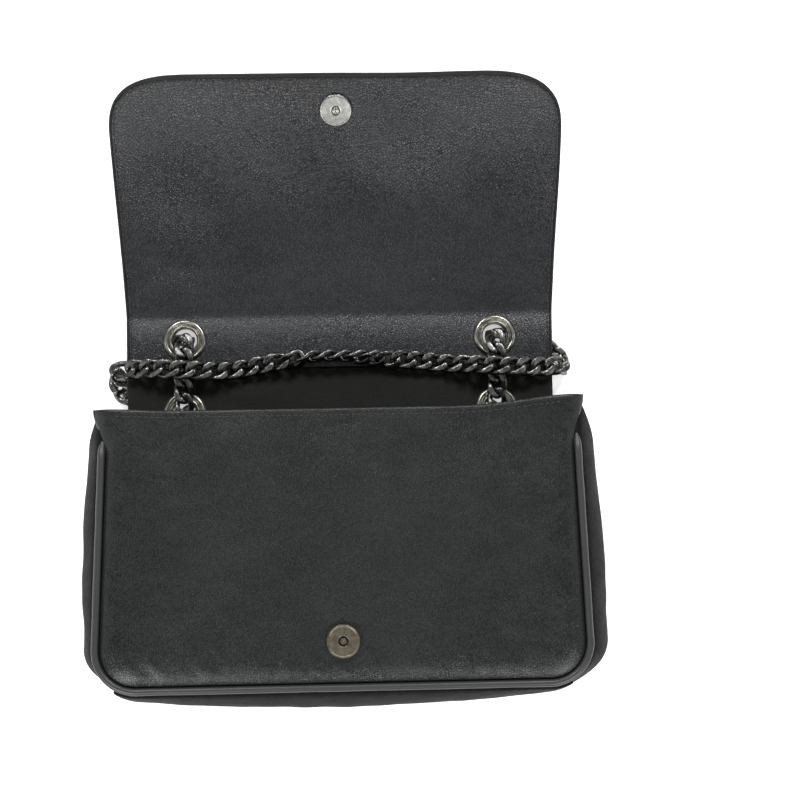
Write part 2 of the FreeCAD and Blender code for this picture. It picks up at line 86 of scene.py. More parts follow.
class Side(Enum):
    """The bag's two sides; each holds the sign of its x."""

    LEFT = -1.0
    RIGHT = 1.0


# ---- grids, sheets and turned forms ----------------------------------------
def linear(hex_colour: str) -> Colour:
    """Turns an sRGB hex colour to linear.

    Args:
        hex_colour: six hex digits, such as "#2b2b2c".

    Returns:
        Linear red, green, blue and an alpha of 1.
    """
    digits = hex_colour.lstrip("#")
    parts = [int(digits[i:i + 2], 16) / 255.0 for i in (0, 2, 4)]
    r, g, b = (c / 12.92 if c <= 0.04045 else ((c + 0.055) / 1.055) ** 2.4 for c in parts)
    return r, g, b, 1.0


def smooth(t: np.ndarray) -> np.ndarray:
    """Smooth step from 0 to 1 as t goes from 0 to 1."""
    t = np.clip(t, 0.0, 1.0)
    return t * t * (3.0 - 2.0 * t)


def around(count: int) -> np.ndarray:
    """Angles of evenly spaced stations round a full turn."""
    return np.linspace(0.0, FULL_TURN, count, endpoint=False)


def ripple(x: np.ndarray, y: np.ndarray, size: float, seed: int,
           lean: float = 0.0, spread: float = math.pi, count: int = 14) -> np.ndarray:
    """Soft random relief: a sum of plane waves of about one wavelength, scaled to about -1..1.

    Args:
        x: first coordinate in millimetres.
        y: second coordinate in millimetres.
        size: typical wavelength in millimetres.
        seed: seed of the random directions and phases.
        lean: middle direction of the waves, in radians from x.
        spread: how far directions leave the middle one.
        count: number of waves.

    Returns:
        Heights of the same shape as x.
    """
    rng = np.random.default_rng(seed)
    out = np.zeros(np.broadcast(x, y).shape)
    for _ in range(count):
        angle = lean + rng.uniform(-spread, spread)
        k = FULL_TURN / (size * rng.uniform(*WAVE_RANGE))
        out += np.sin(k * (x * math.cos(angle) + y * math.sin(angle)) + rng.uniform(0, LAST_PHASE))
    return out / math.sqrt(count)


def edged_axis(length: float, step: float, edge: Sequence[float]) -> np.ndarray:
    """Distances from 0 to length, close together near both ends.

    Args:
        length: total length.
        step: spacing in the middle.
        edge: distances from an end that are always there, rising from 0.

    Returns:
        Rising distances.
    """
    near = np.array(edge)
    middle = np.linspace(near[-1], length - near[-1], max(2, int((length - 2 * near[-1]) / step)) + 1)
    return np.concatenate([near[:-1], middle, length - near[:-1][::-1]])


def quads(rows: int, cols: int, wrap_rows: bool = False, wrap_cols: bool = False) -> np.ndarray:
    """Vertex indices of the quads of a grid, row by row.

    Args:
        rows: number of rows.
        cols: number of columns.
        wrap_rows: whether the last row joins the first.
        wrap_cols: whether the last column joins the first.

    Returns:
        An array of four indices a quad.
    """
    i = np.arange(rows if wrap_rows else rows - 1)[:, None]
    j = np.arange(cols if wrap_cols else cols - 1)[None, :]
    i1, j1 = (i + 1) % rows, (j + 1) % cols
    corners = [i * cols + j, i1 * cols + j, i1 * cols + j1, i * cols + j1]
    return np.stack(np.broadcast_arrays(*corners), -1).reshape(-1, 4)


def make_piece(name: str, points: np.ndarray, faces: np.ndarray) -> Piece:
    """Makes a smooth-shaded object from points in millimetres and quads.

    Args:
        name: the piece's name.
        points: vertex positions, any shape that ends in 3.
        faces: four vertex indices a face; a repeated index makes a triangle.

    Returns:
        The new object, at the origin.
    """
    points = np.asarray(points, float).reshape(-1, 3) * MM
    used, inverse = np.unique(faces.ravel(), return_inverse=True)
    corners = inverse.reshape(-1, 4).astype(np.int32)
    mesh = bpy.data.meshes.new(name)
    mesh.vertices.add(len(used))
    mesh.vertices.foreach_set("co", points[used].ravel().astype(np.float32))
    mesh.loops.add(corners.size)
    mesh.loops.foreach_set("vertex_index", corners.ravel())
    mesh.polygons.add(len(corners))
    mesh.polygons.foreach_set("loop_start", np.arange(0, corners.size, 4, dtype=np.int32))
    mesh.polygons.foreach_set("use_smooth", np.ones(len(corners), bool))
    mesh.update(calc_edges=True)
    mesh.validate()
    piece = bpy.data.objects.new(name, mesh)
    bpy.context.scene.collection.objects.link(piece)
    return piece


def grid_normals(grid: np.ndarray) -> np.ndarray:
    """Unit normals of a grid surface: rows direction crossed with columns direction."""
    across = np.cross(np.gradient(grid, axis=0), np.gradient(grid, axis=1))
    return across / np.maximum(np.linalg.norm(across, axis=-1, keepdims=True), 1e-9)


def shell_mesh(mid: np.ndarray, half: np.ndarray) -> Mesh:
    """Closed leather sheet: the middle surface moved both ways along its normal.

    The two faces share their border, where half goes to nothing, so the edge is round.

    Args:
        mid: middle surface, rows by columns by 3.
        half: half thickness, rows by columns.

    Returns:
        Points and quads.
    """
    rows, cols = half.shape
    normal = grid_normals(mid)
    top = mid + normal * half[..., None]
    low = mid - normal * half[..., None]
    index = np.arange(rows * cols).reshape(rows, cols)
    border = np.ones((rows, cols), bool)
    border[1:-1, 1:-1] = False
    index_low = np.where(border, index, index + rows * cols)
    face = quads(rows, cols)
    face_low = index_low.ravel()[face][:, ::-1]
    return np.concatenate([top.reshape(-1, 3), low.reshape(-1, 3)]), np.concatenate([face, face_low])


def edge_profile(inside: np.ndarray, radius: float) -> np.ndarray:
    """Quarter-round share of a sheet's thickness, from 0 at its edge to 1 a radius inside."""
    t = np.clip(inside / radius, 0.0, 1.0)
    return np.sqrt(np.clip(1.0 - (1.0 - t) ** 2, 0.0, 1.0))


def shell(name: str, mid: np.ndarray, inside: np.ndarray, thick: float) -> Piece:
    """Makes a closed sheet of even thickness with rounded edges.

    Args:
        name: the piece's name.
        mid: middle surface, rows by columns by 3, in millimetres.
        inside: distance of each point from the sheet's edge.
        thick: full thickness.

    Returns:
        The new object.
    """
    half = 0.5 * thick * edge_profile(inside, thick * 0.7)
    half[0], half[-1], half[:, 0], half[:, -1] = 0.0, 0.0, 0.0, 0.0
    return make_piece(name, *shell_mesh(mid, half))


def revolve(profile: Pairs, count: int) -> Mesh:
    """Turns a closed profile of (radius, height) pairs about Z.

    Args:
        profile: pairs in order round the section; the last joins the first.
        count: number of stations round.

    Returns:
        Points and quads.
    """
    rz = np.array(profile, float)
    turn = around(count)[:, None]
    points = np.stack([rz[:, 0] * np.cos(turn), rz[:, 0] * np.sin(turn),
                       np.broadcast_to(rz[:, 1], (count, len(rz)))], -1)
    return points, quads(count, len(rz), True, True)


def rounded(profile: Pairs, steps: int = 3, share: float = 0.3) -> List[Tuple[float, float]]:
    """Cuts each corner of a closed profile by a small curve.

    Args:
        profile: corner points of the section.
        steps: points on each curve.
        share: how much of the shorter run each curve takes.

    Returns:
        The rounded section.
    """
    pts = np.array(profile, float)
    out = []
    for before, here, after in zip(np.roll(pts, 1, 0), pts, np.roll(pts, -1, 0)):
        to_before, to_after = np.linalg.norm(before - here), np.linalg.norm(after - here)
        reach = share * min(to_before, to_after)
        a = here + (before - here) / max(to_before, 1e-9) * reach
        b = here + (after - here) / max(to_after, 1e-9) * reach
        for t in np.linspace(0.0, 1.0, steps):
            p = (1 - t) ** 2 * a + 2 * t * (1 - t) * here + t * t * b
            out.append((float(p[0]), float(p[1])))
    return out


def join_parts(parts: Sequence[Mesh]) -> Mesh:
    """Puts several meshes into one.

    Args:
        parts: points and quads of each.

    Returns:
        All points and quads.
    """
    points, faces, start = [], [], 0
    for pts, face in parts:
        pts = pts.reshape(-1, 3)
        points.append(pts)
        faces.append(face + start)
        start += len(pts)
    return np.concatenate(points), np.concatenate(faces)


def repeated(points: np.ndarray, faces: np.ndarray, origin: np.ndarray, axes: np.ndarray) -> Mesh:
    """Copies one shape to many places.

    Args:
        points: the shape's points.
        faces: its quads.
        origin: the places, m by 3.
        axes: for each place its x, y and z directions as rows, m by 3 by 3.

    Returns:
        Points and quads of all copies.
    """
    shape = points.reshape(-1, 3)
    many = origin[:, None, :] + np.einsum("nk,mkj->mnj", shape, axes)
    shift = np.arange(len(origin))[:, None, None] * many.shape[1]
    return many.reshape(-1, 3), (faces[None] + shift).reshape(-1, 4)


def inside_of(mid: np.ndarray) -> np.ndarray:
    """Distance of each point of a grid from the nearest border, measured along rows and columns.

    Args:
        mid: the grid, rows by columns by 3.

    Returns:
        Distances, rows by columns.
    """
    steps = np.linalg.norm(np.diff(mid, axis=0), axis=-1)
    length = np.concatenate([np.zeros((1, mid.shape[1])), np.cumsum(steps, axis=0)])
    widths = np.linalg.norm(np.diff(mid, axis=1), axis=-1)
    width = np.concatenate([np.zeros((mid.shape[0], 1)), np.cumsum(widths, axis=1)], axis=1)
    return np.minimum.reduce([length, length[-1:] - length, width, width[:, -1:] - width])


def smooth_shaded(piece: Piece) -> None:
    """Shades every face of a piece smoothly."""
    piece.data.polygons.foreach_set("use_smooth", np.ones(len(piece.data.polygons), bool))


def close_ends(piece: Piece, only_low_y: bool = False) -> None:
    """Fills a tube's open ends and turns its faces outwards.

    Args:
        piece: the tube.
        only_low_y: fill only the end nearer the base.
    """
    end_depth = 4.0 * MM
    work = bmesh.new()
    work.from_mesh(piece.data)
    rim = [e for e in work.edges if e.is_boundary]
    if only_low_y:
        low = min(v.co.y for e in rim for v in e.verts)
        rim = [e for e in rim if max(v.co.y for v in e.verts) < low + end_depth]
    bmesh.ops.holes_fill(work, edges=rim, sides=0)
    bmesh.ops.recalc_face_normals(work, faces=work.faces)
    work.to_mesh(piece.data)
    work.free()
    smooth_shaded(piece)


def outward(piece: Piece) -> None:
    """Merges a closed mesh's doubled points and turns its faces outwards.

    Args:
        piece: the piece, which is changed.
    """
    work = bmesh.new()
    work.from_mesh(piece.data)
    bmesh.ops.remove_doubles(work, verts=work.verts, dist=MERGE_M)
    bmesh.ops.recalc_face_normals(work, faces=work.faces)
    work.to_mesh(piece.data)
    work.free()
    smooth_shaded(piece)


def punch(piece: Piece, centres: Pairs, radius: float) -> None:
    """Cuts round holes straight through a sheet.

    Args:
        piece: the sheet.
        centres: x and y of each hole, in millimetres.
        radius: the holes' radius.
    """
    low, high, stations = -20.0, 40.0, 56
    points, faces = revolve([(AXIS_R, low), (radius, low), (radius, high), (AXIS_R, high)], stations)
    parts = [(points + np.array([x, y, 0.0]), faces) for x, y in centres]
    drill = make_piece(piece.name + "_drill", *join_parts(parts))
    close_ends(drill)
    cut = piece.modifiers.new("holes", "BOOLEAN")
    cut.operation, cut.object, cut.solver = "DIFFERENCE", drill, "EXACT"
    graph = bpy.context.evaluated_depsgraph_get()
    punched = bpy.data.meshes.new_from_object(piece.evaluated_get(graph))
    piece.modifiers.clear()
    piece.data = punched
    bpy.data.objects.remove(drill)


# ---- materials ---------------------------------------------------------------
def add_node(tree: bpy.types.NodeTree, kind: str, links: Optional[Dict[Any, Any]] = None,
             values: Optional[Dict[Any, Any]] = None, **settings: Any) -> bpy.types.Node:
    """Adds a node with its settings, values and incoming links.

    Args:
        tree: the node tree.
        kind: the node's type name.
        links: input name or index to the output socket that feeds it.
        values: input name or index to its value.
        settings: attributes of the node.

    Returns:
        The new node.
    """
    item = tree.nodes.new(kind)
    for key, value in settings.items():
        setattr(item, key, value)
    for key, value in (values or {}).items():
        item.inputs[key].default_value = value
    for key, socket in (links or {}).items():
        tree.links.new(socket, item.inputs[key])
    return item


def ramp(tree: bpy.types.NodeTree, source: bpy.types.NodeSocket, low: float, dark: str,
         high: float, light: str) -> bpy.types.NodeSocket:
    """Adds a ramp between two colours on a value.

    Args:
        tree: the node tree.
        source: the value.
        low: value up to which the colour is the dark one.
        dark: that colour.
        high: value from which it is the light one.
        light: that colour.

    Returns:
        The colour's socket.
    """
    item = add_node(tree, "ShaderNodeValToRGB", {"Fac": source})
    for element, place, colour in zip(item.color_ramp.elements, (low, high), (dark, light)):
        element.position, element.color = place, linear(colour)
    return item.outputs["Color"]


def new_material(name: str) -> Tuple[bpy.types.Material, bpy.types.NodeTree, bpy.types.Node]:
    """Makes a node material with a principled shader on its output.

    Args:
        name: its name.

    Returns:
        The material, its node tree and the shader.
    """
    material = bpy.data.materials.new(name)
    material.use_nodes = True
    tree = material.node_tree
    tree.nodes.clear()
    shader = add_node(tree, "ShaderNodeBsdfPrincipled")
    add_node(tree, "ShaderNodeOutputMaterial", {"Surface": shader.outputs[0]})
    return material, tree, shader


@dataclass(frozen=True)
class Leather:
    """Chrome-tanned cow leather, dyed through, with a pressed pebble grain and a satin topcoat.

    The grain is closed cells a millimetre or so across with soft valleys between them, so light
    breaks up into small dull glints, and the valleys are coloured darker as painted shade. Longer slanting
    creases and broad patches lie over it.
    """

    name: str
    dark: str
    light: str
    grain_mm: float
    depth_mm: float
    roughness: float
    specular: float = 0.5
    valley_gloss: float = 0.75
    crease_mm: float = 9.0
    crease_depth_mm: float = 0.2
    patch_mm: float = 55.0

    def build(self) -> bpy.types.Material:
        """Makes the material.

        Returns:
            The material.
        """
        material, tree, shader = new_material(self.name)
        place = add_node(tree, "ShaderNodeTexCoord").outputs["Object"]
        wander = add_node(tree, "ShaderNodeTexNoise", {"Vector": place},
                          {"Scale": 1 / (6 * self.grain_mm * MM), "Detail": 2.0})
        warped = add_node(tree, "ShaderNodeVectorMath", {0: place}, operation="ADD")
        pulled = add_node(tree, "ShaderNodeVectorMath", {0: wander.outputs["Color"]},
                          {"Scale": 1.4 * self.grain_mm * MM}, operation="SCALE")
        tree.links.new(pulled.outputs[0], warped.inputs[1])
        cells = add_node(tree, "ShaderNodeTexVoronoi", {"Vector": warped.outputs[0]},
                         {"Scale": 1 / (self.grain_mm * MM), "Randomness": 1.0},
                         feature="DISTANCE_TO_EDGE")
        pillow = add_node(tree, "ShaderNodeMapRange", {"Value": cells.outputs["Distance"]},
                          {"From Max": 0.28}, interpolation_type="SMOOTHSTEP")
        fine = add_node(tree, "ShaderNodeTexNoise", {"Vector": place},
                        {"Scale": 1 / (0.35 * self.grain_mm * MM), "Detail": 3.0})
        streaks = add_node(tree, "ShaderNodeMapping", {"Vector": place},
                           {"Rotation": (0.0, 0.0, 0.65), "Scale": (0.45, 1.0, 1.0)})
        creases = add_node(tree, "ShaderNodeTexNoise", {"Vector": streaks.outputs[0]},
                           {"Scale": 1 / (self.crease_mm * MM), "Detail": 5.0, "Roughness": 0.62,
                            "Distortion": 0.6})
        patches = add_node(tree, "ShaderNodeTexNoise", {"Vector": place},
                           {"Scale": 1 / (self.patch_mm * MM), "Detail": 3.0})
        both = add_node(tree, "ShaderNodeMath", {0: fine.outputs["Fac"], 2: pillow.outputs[0]},
                        {1: 0.12}, operation="MULTIPLY_ADD")
        # Colour: darker in the valleys between the cells, which is painted shade, over broad patches of tone
        # at random.
        shade = add_node(tree, "ShaderNodeMath", {0: pillow.outputs[0], 2: patches.outputs["Fac"]},
                         {1: 0.3}, operation="MULTIPLY_ADD")
        tone = ramp(tree, shade.outputs[0], 0.4, self.dark, 0.95, self.light)
        tree.links.new(tone, shader.inputs["Base Color"])
        rough = add_node(tree, "ShaderNodeMapRange", {"Value": creases.outputs["Fac"]},
                         {"From Min": 0.3, "From Max": 0.7, "To Min": self.roughness - 0.06,
                          "To Max": self.roughness + 0.08})
        tree.links.new(rough.outputs[0], shader.inputs["Roughness"])
        fold = add_node(tree, "ShaderNodeBump", {"Height": creases.outputs["Fac"]},
                        {"Strength": 0.8, "Distance": self.crease_depth_mm * MM})
        bump = add_node(tree, "ShaderNodeBump", {"Height": both.outputs[0], "Normal": fold.outputs[0]},
                        {"Strength": 0.85, "Distance": self.depth_mm * MM})
        tree.links.new(bump.outputs[0], shader.inputs["Normal"])
        gloss = add_node(tree, "ShaderNodeMapRange", {"Value": pillow.outputs[0]},
                         {"To Min": self.valley_gloss * self.specular, "To Max": self.specular})
        tree.links.new(gloss.outputs[0], shader.inputs["Specular IOR Level"])
        return material


@dataclass(frozen=True)
class Plated:
    """Die-cast zinc or steel wire, polished and plated.

    Wear leaves soft clouds of a few millimetres, and shallow dents bend the reflections.
    """

    name: str
    dark: str
    light: str
    roughness: float
    cloud_mm: float = 3.0
    dent_mm: float = 2.5
    dent_depth_mm: float = 0.006

    def build(self) -> bpy.types.Material:
        """Makes the material.

        Returns:
            The material.
        """
        material, tree, shader = new_material(self.name)
        place = add_node(tree, "ShaderNodeTexCoord").outputs["Object"]
        cloud = add_node(tree, "ShaderNodeTexNoise", {"Vector": place},
                         {"Scale": 1 / (self.cloud_mm * MM), "Detail": 4.0, "Roughness": 0.6})
        tone = ramp(tree, cloud.outputs["Fac"], 0.32, self.dark, 0.68, self.light)
        tree.links.new(tone, shader.inputs["Base Color"])
        rough = add_node(tree, "ShaderNodeMapRange", {"Value": cloud.outputs["Fac"]},
                         {"To Min": self.roughness - 0.08, "To Max": self.roughness + 0.1})
        tree.links.new(rough.outputs[0], shader.inputs["Roughness"])
        dents = add_node(tree, "ShaderNodeTexNoise", {"Vector": place},
                         {"Scale": 1 / (self.dent_mm * MM), "Detail": 1.0})
        bump = add_node(tree, "ShaderNodeBump", {"Height": dents.outputs["Fac"]},
                        {"Strength": 0.5, "Distance": self.dent_depth_mm * MM})
        tree.links.new(bump.outputs[0], shader.inputs["Normal"])
        shader.inputs["Metallic"].default_value = 1.0
        return material


@dataclass(frozen=True)
class Woven:
    """Cotton twill, sewing thread or pressed fibre: matt, with ridges on the diagonal.

    A true thread of about 0.2 mm is too fine to show, so the ridges are drawn coarser.
    """

    name: str
    dark: str
    light: str
    thread_mm: float
    roughness: float = 0.9

    def build(self) -> bpy.types.Material:
        """Makes the material.

        Returns:
            The material.
        """
        material, tree, shader = new_material(self.name)
        place = add_node(tree, "ShaderNodeTexCoord").outputs["Object"]
        turned = add_node(tree, "ShaderNodeMapping", {"Vector": place}, {"Rotation": (0.6, 0.3, 0.9)})
        wave = add_node(tree, "ShaderNodeTexWave", {"Vector": turned.outputs[0]},
                        {"Scale": 0.32 / (self.thread_mm * MM), "Distortion": 1.2, "Detail": 1.0})
        tone = ramp(tree, wave.outputs["Fac"], 0.2, self.dark, 0.8, self.light)
        tree.links.new(tone, shader.inputs["Base Color"])
        bump = add_node(tree, "ShaderNodeBump", {"Height": wave.outputs["Fac"]},
                        {"Strength": 0.6, "Distance": 0.25 * self.thread_mm * MM})
        tree.links.new(bump.outputs[0], shader.inputs["Normal"])
        shader.inputs["Roughness"].default_value = self.roughness
        return material


class Finish(Enum):
    """The bag's finishes; each holds the name of its slot and its recipe."""

    # Full topcoat over a pebble print: near black, with small dull glints where lit.
    FRONT = ("body_leather", Leather("pebbled_cow_leather", "#111313", "#1a1d1c", 1.1, 0.06, 0.34,
                                     valley_gloss=0.6, crease_depth_mm=0.26))
    # The same hide, soft and matt, in darker colours that paint the shade of walls facing sideways, away
    # from the lamps; it shows only its folds.
    SIDE = ("body_leather", Leather("soft_gusset_leather_painted_shade", "#090a09", "#0f100f", 1.2, 0.12, 0.62, 0.1))
    # Buffed nearly smooth: an even, slightly warm black without glints.
    NECK = ("body_leather", Leather("smooth_cow_leather", "#121210", "#191916", 0.8, 0.08, 0.58, 0.18))
    # A coarser print and a cooler dye: a grey sheen broken up into specks.
    FLAP_INSIDE = ("lining_leather", Leather("grained_lining_leather", "#141517", "#1d1f22", 1.4, 0.08, 0.34,
                                             valley_gloss=0.6, crease_depth_mm=0.14))
    # Pared thin and turned over: duller than the face of the flap, and coloured darker, which paints the
    # shade in the groove along the turned edge.
    EDGE = ("body_leather", Leather("skived_edge_leather", "#0e0f0f", "#161717", 0.7, 0.05, 0.5, 0.3))
    # Stretched over a cord: fine and even, with one soft line of light along it; coloured darker than the
    # front, as painted shade of the cord turned sideways in the seam.
    PIPING = ("piping_leather", Leather("piping_leather", "#0a0b0b", "#101111", 0.8, 0.06, 0.5, 0.2))
    # A shade lighter than the leather round it, so that single stitches can be made out.
    THREAD = ("piping_leather", Woven("waxed_polyester_thread", "#171716", "#2c2c2a", 0.3, 0.6))
    # Soft black cloth with no highlight.
    TWILL = ("lining_cloth", Woven("cotton_twill", "#161616", "#232323", 0.6))
    # Matt grey-brown board, hidden between the leathers.
    FIBRE = ("stiffener", Woven("pressed_fibre_board", "#6f6a60", "#8b867b", 0.9))
    # Dark plating: bright glints on the ground faces, nearly black between the links.
    GUNMETAL = ("gunmetal", Plated("gunmetal_plated_wire", "#434342", "#7d7d7a", 0.33, 2.4))
    # Pale ridges with clouded grey in the hollow between them.
    EYELET = ("antique_nickel", Plated("antique_nickel_eyelet", "#76746d", "#b2b0a8", 0.3, 3.0,
                                       dent_depth_mm=0.002))
    # Rougher than the flap's half, and coloured darker and warmer: a painted reflection of the dark
    # surroundings that it faces.
    SOCKET = ("antique_nickel", Plated("dull_nickel_socket_painted_reflection", "#595446", "#777163", 0.42, 2.8))
    # The brightest metal of the bag, satin rather than mirror-like; its lighter colours are a painted
    # reflection of the bright surroundings that the tilted flap's half faces.
    PLATE = ("bright_nickel", Plated("satin_nickel_plate", "#7d7d79", "#9c9c97", 0.38, 2.5))

    @property
    def slot(self) -> str:
        """Name of the finish's slot."""
        return self.value[0]

    def material(self) -> bpy.types.Material:
        """The finish's material, made once."""
        recipe = self.value[1]
        return bpy.data.materials.get(recipe.name) or recipe.build()


def dress(piece: Piece, finish: Finish) -> Piece:
    """Gives a piece its finish.

    Args:
        piece: the piece.
        finish: its finish.

    Returns:
        The same piece.
    """
    piece.data.materials.clear()
    piece.data.materials.append(finish.material())
    return piece


# ---- shared form of the bag ------------------------------------------------
@dataclass(frozen=True)
class Form:
    """The bag's outline and section, shared by all its parts."""

    base_y: float = -166.0
    lip_y: float = -14.8
    base_half: float = 134.6
    lip_half: float = 130.0
    corner: float = 24.0
    height: float = 58.0
    ramp_y: float = -56.0
    fold_y: float = -24.0
    crease_y: float = 44.2
    flap_end: float = 175.0
    neck_top: float = 10.2
    neck_half: float = 122.5
    flap_half: float = 128.2
    flap_corner: Tuple[float, float] = (50.0, 31.0)
    flap_r: float = 211.0
    leather: float = 3.0
    eyelet_x: float = 89.5
    eyelet_y: Tuple[float, float] = (-11.0, 31.0)
    snap_y: float = -139.5
    # Depth, place beyond the crease and reach of the two valleys that mark it.
    valleys: Tuple[Triple, ...] = ((0.6, 1.0, 3.5), (1.5, 2.0, 11.0))

    def half_width(self, y: np.ndarray) -> np.ndarray:
        """Half width of the pouch's seam outline, before its corners are rounded."""
        slope = (self.base_half - self.lip_half) / (self.lip_y - self.base_y)
        return self.base_half - slope * (y - self.base_y)

    def eyelet_pair(self, row: int) -> List[Tuple[float, float]]:
        """Centres of the two eyelets of a row."""
        return [(side.value * self.eyelet_x, self.eyelet_y[row]) for side in Side]

    def inner_face(self, x: np.ndarray, y: np.ndarray) -> np.ndarray:
        """Height of the upper side of the back, the top strip and the opened flap.

        Flat, then a smooth ramp to the top strip, then an arc of the flap's radius. Two valleys
        of the form exp(-t^2) mark the crease; the flap carries a soft relief, and its sides rise
        with the fourth power of x.

        Args:
            x: places across the bag.
            y: places along it.

        Returns:
            Heights.
        """
        ramp_up = smooth((y - self.ramp_y) / (self.fold_y - self.ramp_y))
        z = self.leather + (self.neck_top - self.leather) * ramp_up
        beyond = y - self.crease_y
        run = np.clip(beyond, 0.0, self.flap_r * 0.95)
        z = z + self.flap_r - np.sqrt(self.flap_r ** 2 - run ** 2)
        for depth, place, reach in self.valleys:
            z = z - depth * np.exp(-((beyond - place) / reach) ** 2)
        relief = 0.55 * ripple(x, y, 70.0, 11, lean=HALF_PI, spread=0.9)
        raised = 1.6 * (np.abs(x) / self.flap_half) ** 4 * smooth((y - 60.0) / 90.0)
        return z + smooth(beyond / 30.0) * (relief + raised)


FORM = Form()


@dataclass(frozen=True)
class Plate:
    """Plan of a sheet with two rounded corners at its low end and a straight high end."""

    low: float
    high: float
    corner: float

    def rows(self, step: float) -> np.ndarray:
        """Rows from end to end, close together round the corners and at the high end.

        Args:
            step: spacing in the middle.

        Returns:
            y of each row, as a column.
        """
        turn = np.radians(np.linspace(0.0, 90.0, 19))
        arc = self.low + self.corner * (1.0 - np.cos(turn))
        straight = edged_axis(self.high - self.low - self.corner, step, EDGE)[len(EDGE):]
        return np.concatenate([arc, self.low + self.corner + straight])[:, None]

    def narrowed(self, y: np.ndarray, half: np.ndarray) -> np.ndarray:
        """Half width of each row once the corners are rounded."""
        below = np.clip(self.low + self.corner - y, 0.0, self.corner)
        return half - self.corner + np.sqrt(self.corner ** 2 - below ** 2)

    def inside(self, x: np.ndarray, y: np.ndarray, half: np.ndarray) -> np.ndarray:
        """Distance from the plate's edge: the corner's radius less the way from its centre,
        or the way to the nearest straight side.

        Args:
            x: places across.
            y: places along.
            half: half width at each place, before the corners.

        Returns:
            Distances, negative outside.
        """
        qx = np.abs(x) - (half - self.corner)
        qy = (self.low + self.corner) - y
        straight = np.minimum(half - np.abs(x), y - self.low)
        round_off = self.corner - np.hypot(qx, qy)
        return np.minimum(np.where((qx > 0) & (qy > 0), round_off, straight), self.high - y)


def columns(half: float, step: float) -> np.ndarray:
    """A row of shares from -1 to 1, close together at both sides."""
    return (edged_axis(2.0 * half, step, EDGE) / half - 1.0)[None, :]


def before(y: np.ndarray, line: float, run: float) -> np.ndarray:
    """Smooth share that grows over a run and is full at a line."""
    return smooth((y - line + run) / run)


def stitches(name: str, path: np.ndarray, normal: np.ndarray, pitch: float) -> Piece:
    """Makes a row of stitches along a path: low capsules that dive into the leather at their ends.

    Args:
        name: the piece's name.
        path: points of the seam in millimetres.
        normal: the surface normal at each point.
        pitch: distance between stitches.

    Returns:
        The dressed piece.
    """
    length, width, stations = 2.3, 0.75, 6
    run = np.concatenate([[0.0], np.cumsum(np.linalg.norm(np.diff(path, axis=0), axis=1))])
    at = np.arange(pitch, run[-1] - pitch, pitch)
    origin, ahead, up = (np.stack([np.interp(where, run, line[:, k]) for k in range(3)], -1)
                         for where, line in ((at, path), (at + 0.5, path), (at, normal)))
    along = ahead - origin
    along /= np.linalg.norm(along, axis=1, keepdims=True)
    side = np.cross(up, along)
    side /= np.linalg.norm(side, axis=1, keepdims=True)
    up = np.cross(along, side)
    t = np.linspace(-1.0, 1.0, stations)[:, None]
    ring = around(stations)[None, :]
    fat = 0.5 * width * np.sqrt(np.clip(1.0 - 0.92 * t ** 4, 0.0, 1.0))
    dive = 0.42 * width * t ** 2
    capsule = (0.5 * length * t, fat * np.cos(ring), fat * np.sin(ring) - dive)
    thread = np.stack(np.broadcast_arrays(*capsule), -1)
    faces = quads(stations, stations, wrap_cols=True)
    piece = make_piece(name, *repeated(thread, faces, origin, np.stack([along, side, up], 1)))
    return dress(piece, Finish.THREAD)


